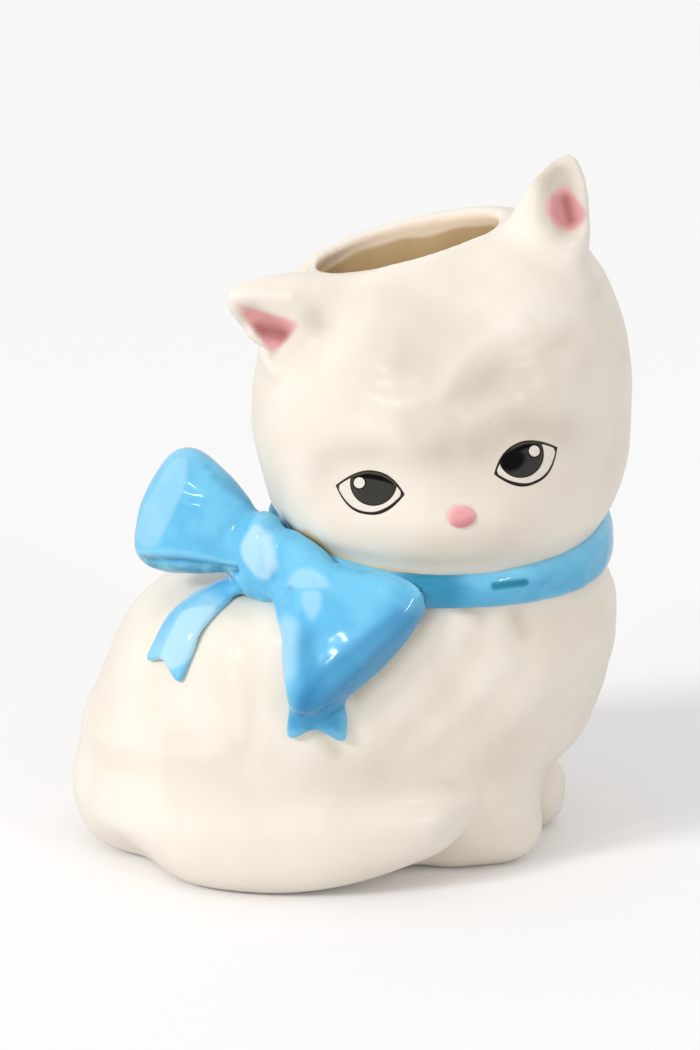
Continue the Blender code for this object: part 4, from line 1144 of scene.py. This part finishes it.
def upper_lid(x, half):
    power = np.where(x > 0.0, LID_POWERS[0], LID_POWERS[1])
    return LID_RISE * (1.0 - np.abs(x / half) ** power)


def lower_lid(x, half):
    return -LID_DROP * (1.0 - np.abs(x / half) ** DROP_POWER)


def lower_line(x):
    """Width of the printed lower line, which swells towards the inner corner."""
    return LINE_WIDTH + LINE_SWELL * smooth_step(-x, 0.5, 5.5)


def fan(centre, edge_at):
    """Rings of points from a centre out to an edge, given by its distance at each angle."""
    rings = []
    for ring in range(1, PATCH_RINGS + 1):
        share = ring / PATCH_RINGS
        for i in range(OUTLINE_POINTS):
            angle = 2.0 * math.pi * i / OUTLINE_POINTS
            reach = edge_at(angle) * share
            rings.append((centre[0] + reach * math.cos(angle), centre[1] + reach * math.sin(angle)))
    return np.array([centre, *rings])


def edge_finder(centre, inside):
    """Distance from a centre to the edge of a region, at an angle."""

    def edge_at(angle):
        low, high = 0.0, EDGE_FAR
        for _ in range(EDGE_HALVINGS):
            middle = (low + high) / 2
            if inside(centre[0] + middle * math.cos(angle), centre[1] + middle * math.sin(angle)):
                low = middle
            else:
                high = middle
        return low

    return edge_at


class Eye:
    """One eye's frame on the head, taken from the corners of its packed print."""

    def __init__(self, side, outer_sign, skin):
        corners = np.array([v.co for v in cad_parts[side + "_eye_print"].data.vertices])
        order = np.argsort(corners[:, 0] * outer_sign)
        inner, outer = corners[order[:4]].mean(0), corners[order[-4:]].mean(0)
        c, s = math.cos(math.radians(FACE_LEAN)), math.sin(math.radians(FACE_LEAN))
        self.forward = np.array([0.0, -c, s])
        level = np.array([outer_sign, 0.0, 0.0])
        rise = math.atan2((outer - inner) @ np.array([0.0, s, c]), (outer - inner) @ level)
        self.across = level * math.cos(rise) + np.array([0.0, s, c]) * math.sin(rise)
        self.up = np.array([0.0, s, c]) * math.cos(rise) - level * math.sin(rise)
        self.centre = (inner + outer) / 2
        self.half = abs((outer - inner) @ self.across) / 2 / MM + CORNER_REACH
        self.skin = skin
        self.mirrored = outer_sign < 0

    def layer(self, flat, lift):
        """(points, faces) of a thin closed film over the skin, from a fan of flat points."""
        top, bottom = [], []
        for x, y in flat:
            start = self.centre + (self.across * x + self.up * y) * MM + self.forward * LAID_FROM
            hit, normal, _, _ = self.skin.ray_cast(Vector(start), Vector(-self.forward))
            top.append(hit + normal * lift)
            bottom.append(hit - normal * FILM_UNDER)
        count = len(flat)
        faces = []
        for i in range(OUTLINE_POINTS):
            j = (i + 1) % OUTLINE_POINTS
            faces.append((0, 1 + i, 1 + j))
            for ring in range(PATCH_RINGS - 1):
                a, b = 1 + ring * OUTLINE_POINTS, 1 + (ring + 1) * OUTLINE_POINTS
                faces.append((a + i, b + i, b + j, a + j))
        backs = [tuple(count + k for k in reversed(face)) for face in faces]
        last = 1 + (PATCH_RINGS - 1) * OUTLINE_POINTS
        for i in range(OUTLINE_POINTS):
            j = (i + 1) % OUTLINE_POINTS
            backs.append((last + i, count + last + i, count + last + j, last + j))
        faces += backs
        if not self.mirrored:
            return top + bottom, faces
        return top + bottom, [tuple(reversed(face)) for face in faces]


def film(name, glaze, slot, node, *layers):
    """A piece from one thin film or more, each with its masks."""
    points, faces, masks = [], [], {}
    for (corners, quads), values in layers:
        first = len(points)
        points += corners
        faces += [tuple(first + i for i in quad) for quad in quads]
        for key, value in values.items():
            masks.setdefault(key, []).append(np.concatenate([value, value]))
    mesh = bpy.data.meshes.new(name)
    mesh.from_pydata(points, [], faces)
    for key, value in masks.items():
        store(mesh, key, np.concatenate(value))
    finish_piece(new_object(name, mesh), glaze, slot, node)


def eye_pieces(side, outer_sign, skin):
    eye = Eye(side, outer_sign, skin)
    half = eye.half

    def in_lids(x, y):
        return abs(x) < half and lower_lid(x, half) < y < upper_lid(x, half)

    def in_white(x, y):
        low = lower_lid(x, half) + lower_line(x)
        return abs(x) < half - WHITE_INSET[0] and low < y < upper_lid(x, half) - WHITE_INSET[1]

    def in_iris(x, y):
        low = lower_lid(x, half) + lower_line(x)
        near = math.hypot(x - IRIS[0], y - IRIS[1]) < IRIS[2]
        return near and low < y < upper_lid(x, half) - IRIS_INSET

    whole = fan((0.0, 0.0), edge_finder((0.0, 0.0), in_lids))
    flat = fan(WHITE_FROM, edge_finder(WHITE_FROM, in_white))
    round_part = fan(PRINT_FROM, edge_finder(PRINT_FROM, in_iris))
    spot = fan(GLINT[:2], lambda angle: GLINT[2])
    x, y = round_part.T
    below = upper_lid(x, half) - y
    from_edge = IRIS[2] - np.hypot(x - IRIS[0], y - IRIS[1])
    taper = np.clip(1.0 - ((x + 0.8) / 6.4) ** 2, 0.0, 1.0)
    iris = smooth_step(from_edge, IRIS_LINE - 0.1, IRIS_LINE + 0.1) * smooth_step(below, 0.3, 0.5)
    olive = smooth_step(below, OLIVE_FROM - 0.1, OLIVE_FROM + 0.1)
    olive *= 1.0 - smooth_step(below, SOOT_FROM - 0.15, SOOT_FROM + 0.15)
    outer_edge = smooth_step(from_edge, 0.3, 0.6) * (1.0 - smooth_step(from_edge, 0.7, 2.0))
    olive = np.maximum(olive, 0.8 * outer_edge * smooth_step(x, 2.0, 4.0))
    soot_to = SOOT_FROM + (SOOT_TO - SOOT_FROM) * taper
    soot = smooth_step(below, SOOT_FROM - 0.12, SOOT_FROM + 0.12)
    soot *= 1.0 - smooth_step(below, soot_to - 0.2, soot_to + 0.15)
    soot *= smooth_step(from_edge, 0.0, 0.2)
    to_glint = np.hypot(x - GLINT[0], y - GLINT[1]) - GLINT[2]
    soot = np.maximum(soot, 0.9 * (1.0 - smooth_step(to_glint, 0.25, 0.5)))
    if side == "left":
        blot = np.hypot((x - BLOT[0]) / BLOT[2], (y - BLOT[1]) / BLOT[3])
        soot = np.maximum(soot, (1.0 - smooth_step(blot, 0.65, 1.10)) * smooth_step(from_edge, 0.0, 0.3))
    none = np.zeros(len(whole))
    lid_olive = np.where(whole[:, 0] > OLIVE_CORNER, LID_OLIVE, 0.0)
    film(
        side + "_eye_outline",
        BLACK,
        "black_transfer",
        side + "_eye_print",
        (eye.layer(whole, OUTLINE_LIFT), {"iris": none, "olive": lid_olive, "soot": none}),
        (eye.layer(round_part, IRIS_LIFT), {"iris": iris, "olive": olive, "soot": soot}),
    )
    for name, node, fan_points, lift in (
        ("_eye_ground", "_eye_white", flat, GROUND_LIFT),
        ("_eye_spark", "_eye_glint", spot, SPARK_LIFT),
    ):
        film(side + name, WHITE, "white_transfer", side + node, (eye.layer(fan_points, lift), {}))


torso_piece()
head = head_piece()
bow_piece()
band_piece()
nose_piece()
face = BVHTree.FromPolygons([v.co for v in head.data.vertices], [p.vertices for p in head.data.polygons])
eye_pieces("right", -1.0, face)
eye_pieces("left", 1.0, face)


# Floor, light and camera


def floor_piece():
    """A pale seamless table: it takes the vase's shadow, and shows the camera its own even white."""
    mesh = bpy.data.meshes.new("table")
    half = FLOOR_HALF
    corners = [(-half, -half, 0.0), (half, -half, 0.0), (half, half, 0.0), (-half, half, 0.0)]
    mesh.from_pydata(corners, [], [(0, 1, 2, 3)])
    made, tree = new_finish("pale table")
    shader = fill(tree, tree.nodes["Principled BSDF"], {"Base Color": "E9E8E8", "Roughness": 0.9})
    camera_ray = add(tree, "ShaderNodeLightPath").outputs["Is Camera Ray"]
    plain = add(tree, "ShaderNodeBsdfDiffuse", {"Color": "FCFBFB"})
    glow = add(tree, "ShaderNodeEmission", {"Color": "FFFFFF", "Strength": 0.03})
    bright = add(tree, "ShaderNodeAddShader", {0: plain.outputs[0], 1: glow.outputs[0]})
    inputs = {0: camera_ray, 1: shader.outputs[0], 2: bright.outputs[0]}
    mix = add(tree, "ShaderNodeMixShader", inputs)
    fill(tree, tree.nodes["Material Output"], {"Surface": mix.outputs[0]})
    mesh.materials.append(made)
    new_object("table", mesh)


def studio():
    world = bpy.data.worlds.new("studio")
    bpy.context.scene.world = world
    world.use_nodes = True
    tree = world.node_tree
    path = add(tree, "ShaderNodeLightPath").outputs
    shown = path["Is Camera Ray"]
    for name in ("Is Glossy Ray", "Is Transmission Ray"):
        shown = add(tree, "ShaderNodeMath", {0: shown, 1: path[name]}, operation="MAXIMUM").outputs[0]
    level = add(tree, "ShaderNodeMapRange", {0: shown, 3: WORLD_LIGHT, 4: WORLD_SHOWN}).outputs[0]
    fill(tree, tree.nodes["Background"], {"Color": "FFFFFF", "Strength": level})
    key = bpy.data.lights.new("key", "SUN")
    key.energy, key.angle = KEY_STRENGTH, math.radians(KEY_SPREAD)
    holder = new_object("key", key)
    holder.visible_glossy = False
    holder.rotation_euler = Vector(KEY_FROM).to_track_quat("Z", "Y").to_euler()
    for name, (place, width, height) in SPARKS.items():
        lamp = bpy.data.lights.new(name, "AREA")
        lamp.shape = "RECTANGLE"
        lamp.size, lamp.size_y = width, height
        lamp.energy = SPARK_WATTS
        holder = new_object(name, lamp)
        holder.location = place
        holder.rotation_euler = (Vector(SPARK_AIM) - Vector(place)).to_track_quat("-Z", "Y").to_euler()


def camera():
    lens = bpy.data.cameras.new("view")
    lens.lens = CAMERA_LENS
    holder = new_object("view", lens)
    target = Vector(CAMERA_TARGET)
    holder.location = target + Vector(TOWARDS_VIEWER) * CAMERA_DISTANCE
    holder.rotation_euler = (target - holder.location).to_track_quat("-Z", "Y").to_euler()
    bpy.context.scene.camera = holder


floor_piece()
studio()
camera()
bpy.context.scene.view_settings.view_transform = "Standard"
